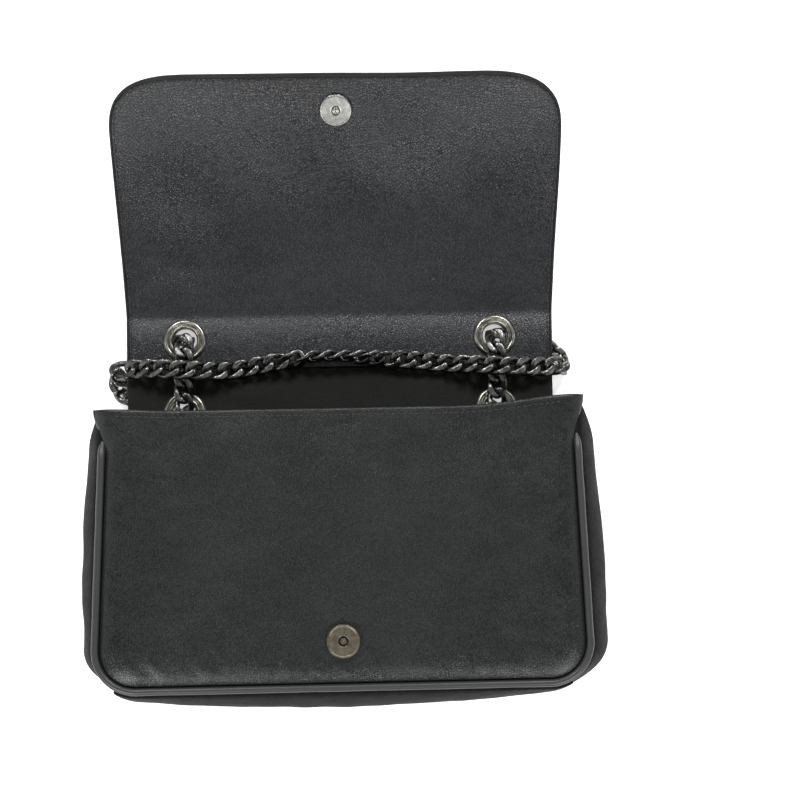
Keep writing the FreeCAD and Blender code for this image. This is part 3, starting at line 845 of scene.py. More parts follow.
# ---- pouch -----------------------------------------------------------------
@dataclass
class Pouch:
    """Padded front, side gussets, base strip, piping, cloth lining and stiffening boards."""

    front_skin: float = 2.2
    front_in: float = 3.6       # the front's cut edge lies this far inside the seam outline
    swell_in: float = 3.4       # and its padding starts to swell here
    swell: float = 4.6
    swell_run: float = 4.2
    seam_dip: float = 2.6
    middle_run: float = 16.0    # dents fade out this far from the seam and from the lip
    snap_ring: float = 9.6
    flare: float = 6.6          # how far its upper corners reach out at the lip
    swell_flare: float = 5.6
    flare_run: float = 24.0
    left_flare: float = 0.7
    lift_run: float = 55.0
    wave_run: float = 20.0
    side_bulge: float = 11.0
    corner_bulge: float = 2.0
    base_bulge: float = 9.1
    mouth_share: float = 0.9
    right_extra: float = 1.4
    left_tuck: float = 2.6
    strip_turn_deg: float = 62.0
    strip_proud: float = 1.2
    wall: float = 1.7
    section_rows: int = 27
    piping_r: float = 2.0
    lining_in: float = 5.6
    cloth: float = 0.6

    def lip_lift(self, x: np.ndarray) -> np.ndarray:
        """How far the front's top edge is pulled up towards each end: more at the right."""
        return 5.6 * smooth((x - 55.0) / 78.0) ** 1.4 + 1.5 * smooth((-x - 90.0) / 42.0)

    def lip_shape(self, x: np.ndarray, y: np.ndarray) -> XY:
        """Where the front's upper edge goes: pulled up towards both ends, with a slight wave.

        Args:
            x: places across the front.
            y: places along it.

        Returns:
            y after the pull, and the wave's height.
        """
        lifted = y + self.lip_lift(x) * before(y, FORM.lip_y, self.lift_run)
        return lifted, 0.3 * ripple(x, y, 90.0, 21) * before(y, FORM.lip_y, self.wave_run)

    def outline(self, turn: np.ndarray, side_y: np.ndarray, out: np.ndarray, x_sign: float) -> XY:
        """Points on the seam outline moved outwards: a straight side, then a round of the corner.

        Args:
            turn: angle round the base corner in radians, 0 on the side and pi/2 on the base.
            side_y: how far up the side a point lies beyond the corner's start.
            out: distance outwards.
            x_sign: 1 for the right side, -1 for the left.

        Returns:
            x and y.
        """
        y_start = FORM.base_y + FORM.corner
        reach = FORM.corner + out
        x = FORM.half_width(y_start + side_y) - FORM.corner + reach * np.cos(turn)
        return x_sign * x, y_start + side_y - reach * np.sin(turn)

    def front_height(self, x: np.ndarray, y: np.ndarray) -> np.ndarray:
        """Height of the padded front's outer surface.

        It dips into the seam and swells within a few millimetres, as 1 - exp(-d) of the distance
        d inside; it carries soft dents, fine pleats along the seam and a slanting fold towards
        each end of the lip, and sinks in a ring round the snap.

        Args:
            x: places across the front.
            y: places along it.

        Returns:
            Heights.
        """
        f = FORM
        far = 400.0
        edge = f.half_width(y) - self.swell_in + self.swell_flare * before(y, f.lip_y, self.flare_run)
        plan = Plate(f.base_y + self.swell_in, f.lip_y + far, f.corner - self.swell_in)
        inside = np.maximum(plan.inside(x, y, edge), 0.0)
        below = f.lip_y - y
        away = smooth(below / self.middle_run)
        relief = 0.5 * ripple(x, y, 75.0, 3) + 0.07 * ripple(x, y, 26.0, 5, lean=0.9, spread=0.6)
        dents = 0.035 * ripple(x, y, 12.0, 7, lean=2.2, spread=0.5)
        middle = 1.0 - np.exp(-inside / self.middle_run)
        z = f.height - self.seam_dip + self.swell * (1.0 - np.exp(-inside / self.swell_run))
        z = z + middle * (relief + dents) * (0.35 + 0.65 * away)
        z -= 0.5 * np.exp(-((np.hypot(x, y - f.snap_y) - self.snap_ring) / 3.0) ** 2)
        along = below / 26.0
        for side in Side:
            off = side.value * x - (f.half_width(y) - 9.5 + 5.0 * along)
            z -= 0.6 * np.exp(-(off / 2.2) ** 2) * smooth(1.25 - along) * smooth(along / 0.25)
        ridge = np.exp(-((inside - 9.0) / 5.0) ** 2)
        return z + 0.17 * ripple(x, y, 11.0, 9, lean=0.4, spread=0.5) * ridge * away

    def front(self) -> Piece:
        """Makes the padded front: a plate whose upper corners flare out over the gussets.

        Returns:
            The piece.
        """
        f = FORM
        plan = Plate(f.base_y + self.front_in, f.lip_y, f.corner - self.front_in)
        y = plan.rows(2.2)
        flare = before(y, f.lip_y, self.flare_run)
        full = f.half_width(y) - self.front_in + self.flare * flare
        x = plan.narrowed(y, full) * columns(f.base_half - self.front_in, 2.3)
        y = np.broadcast_to(y, x.shape)
        inside = plan.inside(x, y, full)
        x = x - self.left_flare * flare * np.clip(-x / full, 0.0, 1.0) ** 4
        lifted, wave = self.lip_shape(x, y)
        mid = np.stack([x, lifted, self.front_height(x, y) - 0.5 * self.front_skin + wave], -1)
        piece = dress(shell("front_padded", mid, inside, self.front_skin), Finish.FRONT)
        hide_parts("front_panel")
        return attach(piece, "bag")

    def front_stitches(self) -> Piece:
        """Makes the stitch row below the front's top edge.

        Returns:
            The piece.
        """
        below_lip, end_x, proud, count, pitch = 4.0, 123.0, 0.1, 200, 3.1
        x = np.linspace(-end_x, end_x, count)
        y = np.full_like(x, FORM.lip_y - below_lip)
        lifted, wave = self.lip_shape(x, y)
        path = np.stack([x, lifted, self.front_height(x, y) + wave + proud], -1)
        up = np.tile((0.0, 0.0, 1.0), (count, 1))
        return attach(stitches("lip_stitches", path, up, pitch), "bag")

    def mouth_y(self, z: np.ndarray) -> np.ndarray:
        """Where a gusset's top edge lies at each height: the parabola through three points,
        one above the fold, one drawn in halfway up and one below the lip.

        Args:
            z: heights.

        Returns:
            y of the edge.
        """
        z0, z1, z2 = 2.0, 27.0, 55.4
        y0, y1, y2 = FORM.fold_y - 1.0, FORM.fold_y - 11.0, FORM.lip_y - 0.6
        return (y0 * (z - z1) * (z - z2) / ((z0 - z1) * (z0 - z2))
                + y1 * (z - z0) * (z - z2) / ((z1 - z0) * (z1 - z2))
                + y2 * (z - z0) * (z - z1) / ((z2 - z0) * (z2 - z1)))

    def section(self) -> Tuple[np.ndarray, np.ndarray, np.ndarray]:
        """Section of a side wall from the back seam to the front seam, with a flange at each.

        The swell is a sine of the height, raised to a power that fills it out.

        Returns:
            Share of the bulge, inward offset of the seam flanges, and height.
        """
        low, high = 0.95, FORM.height - 2.6
        flange_in = np.array([4.4, 3.0, 1.6, 0.6])
        rim = np.zeros(len(flange_in))
        s = np.linspace(0.0, 1.0, self.section_rows)
        swell = np.concatenate([rim, np.sin(math.pi * s) ** 0.8, rim])
        offset = np.concatenate([-flange_in, np.zeros(self.section_rows), -flange_in[::-1]])
        z = np.concatenate([rim + low - 0.05, low + (high - low) * s, rim + high - 0.1])
        return swell[None, :], offset[None, :], z[None, :]

    def gusset(self, side: Side) -> Piece:
        """Makes one side gusset: the seam outline pushed outwards by the section's swell.

        Args:
            side: which of the two.

        Returns:
            The piece.
        """
        f, right = FORM, side is Side.RIGHT
        overlap_deg, mouth_run, tuck_run = 4.0, 55.0, 40.0
        swell, offset, z = self.section()
        rise = edged_axis(1.0, 0.016, (0.0, 0.001, 0.003, 0.007, 0.012, 0.02))[::-1, None]
        turns = np.radians(np.linspace(0.0, self.strip_turn_deg + overlap_deg, 22))[1:, None]
        top = self.mouth_y(z) - (f.base_y + f.corner)
        side_y = np.concatenate([rise * top, np.zeros((len(turns), top.shape[1]))])
        turn = np.concatenate([np.zeros_like(rise), turns])
        run = (top - side_y) / mouth_run
        grow = self.mouth_share + (1.0 - self.mouth_share) * smooth(run)
        extra = self.right_extra if right else -self.left_tuck * smooth((tuck_run - side_y) / tuck_run)
        round_corner = smooth(turn / math.radians(self.strip_turn_deg))
        bulge = (self.side_bulge + extra) * grow + (self.corner_bulge - self.side_bulge) * round_corner
        along = side_y - turn * f.corner
        z = np.broadcast_to(z, side_y.shape)
        folds = 0.55 * ripple(along, z, 60.0, 31 if right else 37, lean=0.1, spread=0.5)
        folds += 0.12 * ripple(along, z, 17.0, 33, lean=0.3, spread=0.6)
        out = offset + swell * (bulge + folds * (0.35 + 0.65 * grow))
        x, y = self.outline(turn, side_y, out - 0.5 * self.wall, side.value)
        lift = self.lip_lift(x) * (z / f.height) ** 3 * smooth(1.0 - run)
        mid = np.stack([x, y + lift, z], -1)[::-1 if right else 1]
        word = side.name.lower()
        piece = dress(shell(f"gusset_{word}_leather", mid, inside_of(mid), self.wall), Finish.SIDE)
        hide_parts(f"gusset_{word}")
        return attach(piece, "bag")

    def base_out(self, x: np.ndarray) -> np.ndarray:
        """Bulge of the base along the bag: fullest left of the middle, less at both ends."""
        return self.base_bulge - 5.2 * (np.abs(x + 3.0) / 110.0) ** 2.4

    def base_track(self, run_x: float) -> XY:
        """The base strip's course: round the right corner, straight along the base, round the left.

        Args:
            run_x: where the straight stretch ends.

        Returns:
            The angle round the corner and the corner centre's x, as columns.
        """
        first = self.strip_turn_deg / 90.0
        ends = edged_axis(1.0, 0.1, (0.0, 0.01, 0.03, 0.06))[::-1] * (1.0 - first)
        turn = (1.0 - ends) * HALF_PI
        flat = np.linspace(1.0, -1.0, 105)[1:-1] * run_x
        centre = np.concatenate([np.full_like(turn, run_x), flat, np.full_like(turn, -run_x)])
        return np.concatenate([turn, np.full_like(flat, HALF_PI), turn[::-1]])[:, None], centre[:, None]

    def base_strip(self) -> Piece:
        """Makes the base strip, which laps over the gussets' ends.

        Returns:
            The piece.
        """
        f = FORM
        swell, offset, z = self.section()
        turn, cx = self.base_track(f.base_half - f.corner)
        sign = np.sign(cx + 1e-9)
        x0 = cx + sign * f.corner * np.cos(turn)
        folds = 0.3 * ripple(x0, z, 70.0, 41, lean=0.1, spread=0.5)
        folds = folds + 0.1 * ripple(x0, z, 20.0, 43, lean=0.2, spread=0.6)
        out = offset + swell * (self.base_out(x0) + folds) + self.strip_proud - 0.5 * self.wall
        x = cx + sign * (f.corner + out) * np.cos(turn)
        y = f.base_y + f.corner - (f.corner + out) * np.sin(turn)
        mid = np.stack([x, y, np.broadcast_to(z, x.shape)], -1)[::-1]
        piece = dress(shell("base_strip_leather", mid, inside_of(mid), self.wall), Finish.SIDE)
        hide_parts("base_strip")
        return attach(piece, "bag")

    def piping(self) -> Piece:
        """Makes the covered cord in the front seam: a round section carried along the outline.

        It sinks into the seam and thins over its last few millimetres at both ends.

        Returns:
            The piece.
        """
        f = FORM
        below_lip, seam_in, sink, stations = 13.0, 2.1, 2.6, 14
        side_y = np.linspace(f.lip_y - below_lip - (f.base_y + f.corner), 0.0, 60)
        turns = np.radians(np.linspace(0.0, 90.0, 26))[1:]
        run_x = f.base_half - f.corner
        flat_x = run_x * np.linspace(1.0, -1.0, 80)[1:-1]
        right = np.zeros((len(side_y) + len(turns), 4))
        right[len(side_y):, 0] = turns
        right[:len(side_y), 1] = side_y
        right[:, 2] = 1.0
        middle = np.zeros((len(flat_x), 4))
        middle[:, 0] = HALF_PI
        middle[:, 3] = flat_x
        track = np.concatenate([right, middle, right[::-1] * (1.0, 1.0, -1.0, 1.0)])
        turn, up_side, sign, flat = (track[:, k:k + 1] for k in range(4))
        ring = around(stations)[None, :]
        station = np.arange(len(track), dtype=float)[:, None]
        from_end = 2.0 * np.minimum(station, station[-1] - station)
        wobble = 0.03 * ripple(2.2 * station, np.zeros_like(station), 19.0, 51)
        radius = (self.piping_r + wobble) * (0.35 + 0.65 * smooth(from_end / 9.0))
        out = radius * np.cos(ring) - seam_in + wobble
        edge_x, edge_y = self.outline(turn, up_side, out, 1.0)
        x = np.where(sign == 0, flat, sign * edge_x)
        y = np.where(sign == 0, f.base_y - out, edge_y)
        z = f.height - 0.6 + radius * np.sin(ring) - sink * (1.0 - smooth(from_end / 14.0))
        faces = quads(len(track), stations, wrap_cols=True)
        piece = make_piece("front_piping_cord", np.stack([x, y, z], -1), faces[:, ::-1])
        close_ends(piece)
        dress(piece, Finish.PIPING)
        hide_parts("front_piping")
        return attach(piece, "bag")

    def lining(self) -> Piece:
        """Makes the cloth sack: flat loops round the inside, drawn together at the base.

        Each loop is a superellipse across the back, up the bulging side, across under the front
        and down again; towards the base its corners follow the outline and its height closes.

        Returns:
            The piece.
        """
        f, inset = FORM, self.lining_in
        mid_z, half_z, corner_run, stations = 29.0, 23.2, 14.0, 96
        loop = around(stations)[None, :]
        cosine, sine = np.cos(loop), np.sin(loop)
        square_x = np.sign(cosine) * np.abs(cosine) ** 0.16
        square_z = np.sign(sine) * np.abs(sine) ** 0.42
        corner_rows = 1.0 - np.cos(np.radians(np.linspace(4.0, 90.0, 16)))
        upper_rows = 1.0 + np.linspace(0.03, 1.0, 40) * 4.6
        rows = np.concatenate([corner_rows, upper_rows])[:, None] * f.corner
        y_low = f.base_y - 1.0 + inset
        top = -16.5 - 9.0 * (1.0 - np.abs(square_z)) - 44.0 * smooth(-square_z * 1.4)
        y = y_low + rows / rows[-1] * (top - y_low)
        half = Plate(y_low, f.lip_y, f.corner - inset).narrowed(y, f.half_width(y) - inset)
        depth = edge_profile(rows, corner_run)
        belly = 0.7 * self.side_bulge * (1.0 - square_z ** 2) * smooth((f.lip_y - y) / 60.0) * depth
        x = square_x * (half + belly)
        sag = 0.5 * np.abs(ripple(x, y, 36.0, 61)) * depth
        z = mid_z + square_z * half_z * (0.3 + 0.7 * depth) - sag * np.sign(square_z)
        piece = make_piece("lining_sack", np.stack([x, y, z], -1), quads(*x.shape, wrap_cols=True))
        close_ends(piece, only_low_y=True)
        thicken = piece.modifiers.new("cloth", "SOLIDIFY")
        thicken.thickness, thicken.offset = self.cloth * MM, 0.0
        dress(piece, Finish.TWILL)
        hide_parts("lining")
        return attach(piece, "bag")

    def boards(self) -> List[Piece]:
        """Gives the hidden stiffening boards their finish."""
        nodes = ("back_board", "front_board", "base_board")
        return [dress(frame["nodes"][node], Finish.FIBRE) for node in nodes]

    def build(self) -> List[Piece]:
        """Builds the pouch and returns its pieces."""
        return [self.front(), self.front_stitches(), *(self.gusset(side) for side in Side),
                self.base_strip(), self.piping(), self.lining(), *self.boards()]


# ---- folding top -----------------------------------------------------------
@dataclass
class FoldingTop:
    """Back leather, neck facing, flap leather and lining, turned edge, stitches and edge paint."""

    skin: float = 1.45
    under_gap: float = 0.05     # between the outer leather and what lies on it
    seam_y: float = 14.0
    under_seam_y: float = 9.0
    facing_low: float = -78.0
    end_y: float = 173.4
    pouch_in: float = 4.6
    narrow_y: float = -66.0
    narrow_run: float = 34.0
    widen_y: float = 20.0
    hole_r: float = 8.2
    bend: float = 7.0           # a fold bends the leather this far to each side of its line
    edge_top: float = 1.7
    edge_side: float = 1.1
    edge_over: float = 0.25
    edge_thick: float = 0.7
    paint_r: Tuple[float, float] = (0.55, 1.1)

    def half_width(self, y: np.ndarray) -> np.ndarray:
        """Half width from the pouch through the neck to the flap, joined by smooth steps.

        Args:
            y: places along the bag.

        Returns:
            Half widths.
        """
        pouch = FORM.half_width(y) - self.pouch_in
        neck = pouch + (FORM.neck_half - pouch) * smooth((y - self.narrow_y) / self.narrow_run)
        widen = np.clip((y - self.widen_y) / (FORM.flap_end - self.widen_y), 0.0, 1.0)
        return neck + (FORM.flap_half - FORM.neck_half) * smooth(widen * 1.25) * (y > self.widen_y)

    def at(self, x: np.ndarray, y: np.ndarray, depth: float) -> np.ndarray:
        """Points below the inner face, moved square to it along the slope of its two directions.

        Args:
            x: places across the bag.
            y: places along it.
            depth: how far below; a negative depth is above.

        Returns:
            Points, ending in 3.
        """
        height, step = FORM.inner_face, 0.5
        slope_y = (height(x, y + step) - height(x, y - step)) / (2 * step)
        slope_x = (height(x + step, y) - height(x - step, y)) / (2 * step)
        size = np.sqrt(1.0 + slope_x ** 2 + slope_y ** 2)
        z = height(x, y) - depth / size
        return np.stack([x + depth * slope_x / size, y + depth * slope_y / size, z], -1)

    def blend_over(self, piece: Piece) -> Piece:
        """Bakes a piece's placement into its mesh, leaving it at the origin.

        Args:
            piece: the piece.

        Returns:
            The piece.
        """
        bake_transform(piece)
        return piece

    def leather(self, name: str, mid: np.ndarray, inside: np.ndarray, row: int, finish: Finish) -> Piece:
        """Makes one dressed leather with its two eyelet holes.

        Args:
            name: the piece's name.
            mid: middle surface.
            inside: distance of each point from the edge.
            row: which row of eyelets goes through it.
            finish: its finish.

        Returns:
            The piece.
        """
        piece = shell(name, mid, inside, self.skin)
        punch(piece, FORM.eyelet_pair(row), self.hole_r)
        return dress(piece, finish)

    def outer(self, x: np.ndarray, y: np.ndarray) -> np.ndarray:
        """Middle surface of the outer leather."""
        return self.at(x, y, FORM.leather - 0.5 * self.skin - self.under_gap)

    def back_leather(self) -> Piece:
        """Makes the outer leather from the base, up the ramp and under the top strip.

        Returns:
            The piece.
        """
        f = FORM
        plan = Plate(f.base_y + self.pouch_in, self.under_seam_y, f.corner - self.pouch_in)
        y = plan.rows(3.0)
        full = self.half_width(y)
        x = plan.narrowed(y, full) * columns(f.base_half, 4.0)
        y = np.broadcast_to(y, x.shape)
        mid, inside = self.outer(x, y), plan.inside(x, y, full)
        piece = self.leather("back_leather", mid[::-1, ::-1], inside[::-1, ::-1], 0, Finish.FRONT)
        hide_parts("back_panel")
        return self.blend_over(piece)

    def neck_facing(self) -> Piece:
        """Makes the smoother facing inside the mouth and up to the chain's seam.

        Returns:
            The piece.
        """
        length = self.seam_y - self.facing_low
        y = (self.facing_low + edged_axis(length, 2.2, EDGE))[:, None]
        full = self.half_width(y) - 0.2
        x = full * columns(FORM.neck_half, 3.4)
        y = np.broadcast_to(y, x.shape)
        inside = np.minimum.reduce([full - np.abs(x), y - self.facing_low, self.seam_y - y])
        piece = self.leather("neck_facing", self.at(x, y, 0.5 * self.skin), inside, 0, Finish.NECK)
        return self.blend_over(piece)

    def flap_grid(self, y0: float, y1: float, trim: float, step: float
                  ) -> Tuple[np.ndarray, np.ndarray, np.ndarray]:
        """Plan grid of the flap from y0 to its free edge.

        Each corner is a quarter of the superellipse |u|^3 + |v|^3 = 1; the way inside it is its
        level's distance from 1 over the level's slope.

        Args:
            y0: where the grid starts.
            y1: its free edge.
            trim: how far its sides stay inside the flap's.
            step: spacing.

        Returns:
            x, y and the distance inside the edge.
        """
        rx, ry = FORM.flap_corner
        turn = np.linspace(0.0, HALF_PI, 23)
        straight = y0 + edged_axis(y1 - ry - y0, step, EDGE)[:-len(EDGE)]
        y = np.concatenate([straight, y1 - ry + ry * np.sin(turn) ** (2.0 / 3.0)])[:, None]
        full = self.half_width(y) - trim
        up = np.clip((y - (y1 - ry)) / ry, 0.0, 1.0)
        x = (full - rx + rx * np.cbrt(1.0 - up ** 3)) * columns(FORM.flap_half, step)
        y = np.broadcast_to(y, x.shape)
        u = np.clip(np.abs(x) - (full - rx), 1e-6, None) / rx
        v = np.clip(y - (y1 - ry), 1e-6, None) / ry
        level = np.cbrt(u ** 3 + v ** 3)
        slope = np.hypot(u ** 2 / rx, v ** 2 / ry) / level ** 2
        corner = np.maximum((1.0 - level) / slope, 0.0)
        return x, y, np.minimum.reduce([full - np.abs(x), y1 - y, corner, y - y0])

    def flap_leather(self) -> Piece:
        """Makes the flap's outer leather, from under the strip to the free edge.

        Returns:
            The piece.
        """
        x, y, inside = self.flap_grid(self.under_seam_y, self.end_y, 0.0, 3.2)
        piece = self.leather("flap_outer_leather", self.outer(x, y), inside, 1, Finish.FRONT)
        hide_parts("flap_leather")
        return self.blend_over(piece)

    def flap_lining(self) -> Piece:
        """Makes the grained lining of the flap and of the strip's upper half.

        Returns:
            The piece.
        """
        x, y, inside = self.flap_grid(self.seam_y, self.end_y - 0.9, 0.6, 2.3)
        mid = self.at(x, y, 0.5 * self.skin)
        piece = self.leather("flap_inner_lining", mid, inside, 1, Finish.FLAP_INSIDE)
        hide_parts("flap_lining", "top_strip")
        return self.blend_over(piece)

    def edge_path(self, inset: np.ndarray) -> XY:
        """The flap's outline in plan, moved inwards: up one side, across, and down the other.

        Args:
            inset: how far each point moves; one row for the whole outline, or one for each point.

        Returns:
            x and y.
        """
        rx, ry = FORM.flap_corner
        turn = np.linspace(0.0, HALF_PI, 60)
        y_side = np.linspace(self.seam_y + 1.0, self.end_y - ry, 110)[:-1]
        y_corner = self.end_y - ry + ry * np.sin(turn) ** (2.0 / 3.0)
        corner = self.half_width(y_corner) - rx + rx * np.cos(turn) ** (2.0 / 3.0)
        half_x = np.concatenate([self.half_width(y_side), corner])
        half_y = np.concatenate([y_side, y_corner])
        flat_x = corner[-1] * np.linspace(1.0, -1.0, 120)[1:-1]
        x = np.concatenate([half_x, flat_x, -half_x[::-1]])
        y = np.concatenate([half_y, np.full(len(flat_x), self.end_y), half_y[::-1]])
        path = np.stack([x, y], -1)
        tangent = np.gradient(path, axis=0)
        tangent /= np.linalg.norm(tangent, axis=1, keepdims=True)
        inward = np.stack([-tangent[:, 1], tangent[:, 0]], -1)
        moved = path[:, None, :] + inward[:, None, :] * inset[..., None]
        return moved[..., 0], moved[..., 1]

    def band_width(self) -> np.ndarray:
        """Width of the turned edge along the outline: wider along the free edge."""
        share = smooth((self.edge_path(np.zeros((1, 1)))[1] - self.end_y + 14.0) / 13.0)
        return self.edge_side + (self.edge_top - self.edge_side) * share

    def turned_edge(self) -> Piece:
        """Makes the outer leather's edge where it is turned over the lining.

        Returns:
            The piece.
        """
        width = self.band_width() + self.edge_over
        across = np.array([0.0, 0.03, 0.1, 0.2, 0.35, 0.5, 0.65, 0.8, 0.9, 0.97, 1.0])[None, :]
        x, y = self.edge_path(across * width - self.edge_over)
        inside = np.minimum(across, 1.0 - across) * width
        piece = shell("flap_turned_edge", self.at(x, y, -0.12)[::-1], inside[::-1], self.edge_thick)
        return self.blend_over(dress(piece, Finish.EDGE))

    def edge_stitches(self) -> Piece:
        """Makes the stitch row beside the turned edge.

        Returns:
            The piece.
        """
        row_in, proud, pitch = 2.3, 0.5, 3.0
        x, y = self.edge_path(row_in + 0.1 * (self.band_width() - self.edge_side))
        path, above = self.at(x, y, -proud)[:, 0], self.at(x, y, -proud - 1.0)[:, 0]
        piece = stitches("flap_stitches", path, above - path, pitch)
        return self.blend_over(piece)

    def rim(self) -> Piece:
        """Makes the painted raw edge between the flap's two leathers: an oval along the outline.

        Returns:
            The piece.
        """
        wide, tall = self.paint_r
        ring = around(8)[None, :]
        x, y = self.edge_path(0.5 + wide * np.cos(ring))
        points = self.at(x, y, self.skin + self.under_gap)
        points[..., 2] += tall * np.sin(ring)
        piece = make_piece("flap_edge_paint", points, quads(*x.shape, wrap_cols=True))
        close_ends(piece)
        return self.blend_over(dress(piece, Finish.PIPING))

    def build(self) -> List[Piece]:
        """Builds the folding top and returns its pieces."""
        return [self.back_leather(), self.neck_facing(), self.flap_leather(), self.flap_lining(),
                self.turned_edge(), self.edge_stitches(), self.rim()]


# ---- hardware --------------------------------------------------------------
@dataclass(frozen=True)
class SnapHalf:
    """One half of the magnetic snap: its finish, what carries it, and the foot and tilt of its axis."""

    finish: Finish
    body: str
    foot: Triple
    tilt: float = 0.0


@dataclass
class Hardware:
    """Four eyelets and the two halves of the magnetic snap."""

    eyelet_inner: float = 7.0
    eyelet_outer: float = 12.4
    snap_r: float = 9.0
    snap_front: Triple = (0.0, FORM.snap_y, 59.8)
    snap_arc: float = 118.5
    stations: int = 72

    def eyelets(self) -> Piece:
        """Makes the eyelets: two round ridges above the leather, a flat flange below.

        Returns:
            The piece.
        """
        a, b, t = self.eyelet_inner, self.eyelet_outer, FORM.neck_top
        u = t - FORM.leather
        ridge = [(a, u - 0.6), (a, t + 0.6), (a + 0.25, t + 1.15), (a + 0.75, t + 1.6), (a + 1.25, t + 1.55),
                 (a + 1.7, t + 1.0), (a + 1.95, t + 0.35), (a + 2.3, t + 0.3), (a + 2.6, t + 0.9),
                 (a + 3.05, t + 1.45), (a + 3.75, t + 1.65), (a + 4.4, t + 1.4), (a + 4.95, t + 0.8),
                 (b, t + 0.15), (b - 0.3, t - 0.1), (a + 1.05, t), (a + 1.05, u - 0.05),
                 (b - 0.7, u - 0.05), (b - 1.2, u - 0.9), (a + 1.0, u - 1.2)]
        points, faces = revolve(rounded(ridge), self.stations)
        parts = [(points + np.array([side.value * FORM.eyelet_x, y, 0.0]), faces[:, ::-1])
                 for side in Side for y in FORM.eyelet_y]
        piece = make_piece("eyelet_rings", *join_parts(parts))
        outward(piece)
        dress(piece, Finish.EYELET)
        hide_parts("eyelets")
        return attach(piece, "strip")

    def turned(self, name: str, node: str, sections: Sequence[Pairs], half: SnapHalf) -> Piece:
        """Makes a piece of the snap from closed sections turned about one axis.

        Args:
            name: the piece's name.
            node: what it stands in for.
            sections: the sections, as radius and height.
            half: the half of the snap that it belongs to.

        Returns:
            The piece.
        """
        points, faces = join_parts([revolve(rounded(section), self.stations) for section in sections])
        cosine, sine = math.cos(half.tilt), math.sin(half.tilt)
        spin = np.array([[1.0, 0.0, 0.0], [0.0, cosine, -sine], [0.0, sine, cosine]])
        piece = make_piece(name, points @ spin.T + np.array(half.foot), faces)
        outward(piece)
        dress(piece, half.finish)
        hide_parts(node)
        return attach(piece, half.body)

    def socket(self) -> List[Piece]:
        """Makes the front's half of the snap: a ring-shaped disc, its rivet and the well's floor.

        Returns:
            The pieces.
        """
        r, half = self.snap_r, SnapHalf(Finish.SOCKET, "bag", self.snap_front)
        disc = [(2.7, 0.0), (r - 0.3, 0.0), (r, 0.35), (r, 1.9), (r - 0.35, 2.35), (r - 0.9, 2.4),
                (r - 1.25, 2.15), (3.6, 2.2), (3.1, 2.3), (2.7, 2.05)]
        rivet = [(AXIS_R, -3.0), (1.3, -3.0), (1.3, 0.1), (1.95, 0.1), (2.0, 0.75), (1.6, 1.05),
                 (AXIS_R, 1.1)]
        floor = [(AXIS_R, 0.02), (2.68, 0.02), (2.68, 0.1), (AXIS_R, 0.1)]
        return [self.turned("snap_socket_disc", "snap_socket", [disc], half),
                self.turned("snap_socket_rivet_head", "snap_socket_rivet", [rivet, floor], half)]

    def stud(self) -> List[Piece]:
        """Makes the flap's half of the snap, tilted as the flap's arc is there.

        Returns:
            The pieces.
        """
        f, r = FORM, self.snap_r
        tilt = self.snap_arc / f.flap_r
        foot = (0.0, f.crease_y + f.flap_r * math.sin(tilt), f.neck_top + f.flap_r * (1.0 - math.cos(tilt)))
        half = SnapHalf(Finish.PLATE, "flap", foot, tilt)
        plate = [(2.3, 1.0), (r - 0.3, 1.0), (r, 1.3), (r, 2.2), (r - 0.35, 2.6), (r - 0.9, 2.65),
                 (r - 1.2, 2.45), (3.2, 2.5), (2.3, 2.35)]
        seat = [(AXIS_R, 0.0), (r - 0.1, 0.0), (r - 0.1, 0.45), (r - 0.5, 0.6), (r - 2.5, 0.6),
                (r - 2.6, 0.95), (AXIS_R, 0.95)]
        plug = [(AXIS_R, 1.0), (2.2, 1.0), (2.2, 3.0), (1.9, 3.5), (1.1, 3.75), (0.9, 3.45), (AXIS_R, 3.4)]
        return [self.turned("snap_plate_disc", "snap_stud_plate", [plate, seat], half),
                self.turned("snap_stud_plug", "snap_stud", [plug], half)]

    def washers(self) -> List[Piece]:
        """Gives the hidden washers their finish."""
        nodes = ("snap_socket_washer", "snap_stud_washer")
        return [dress(frame["nodes"][node], Finish.PLATE) for node in nodes]

    def build(self) -> List[Piece]:
        """Builds the hardware and returns its pieces."""
        return [self.eyelets(), *self.socket(), *self.stud(), *self.washers()]


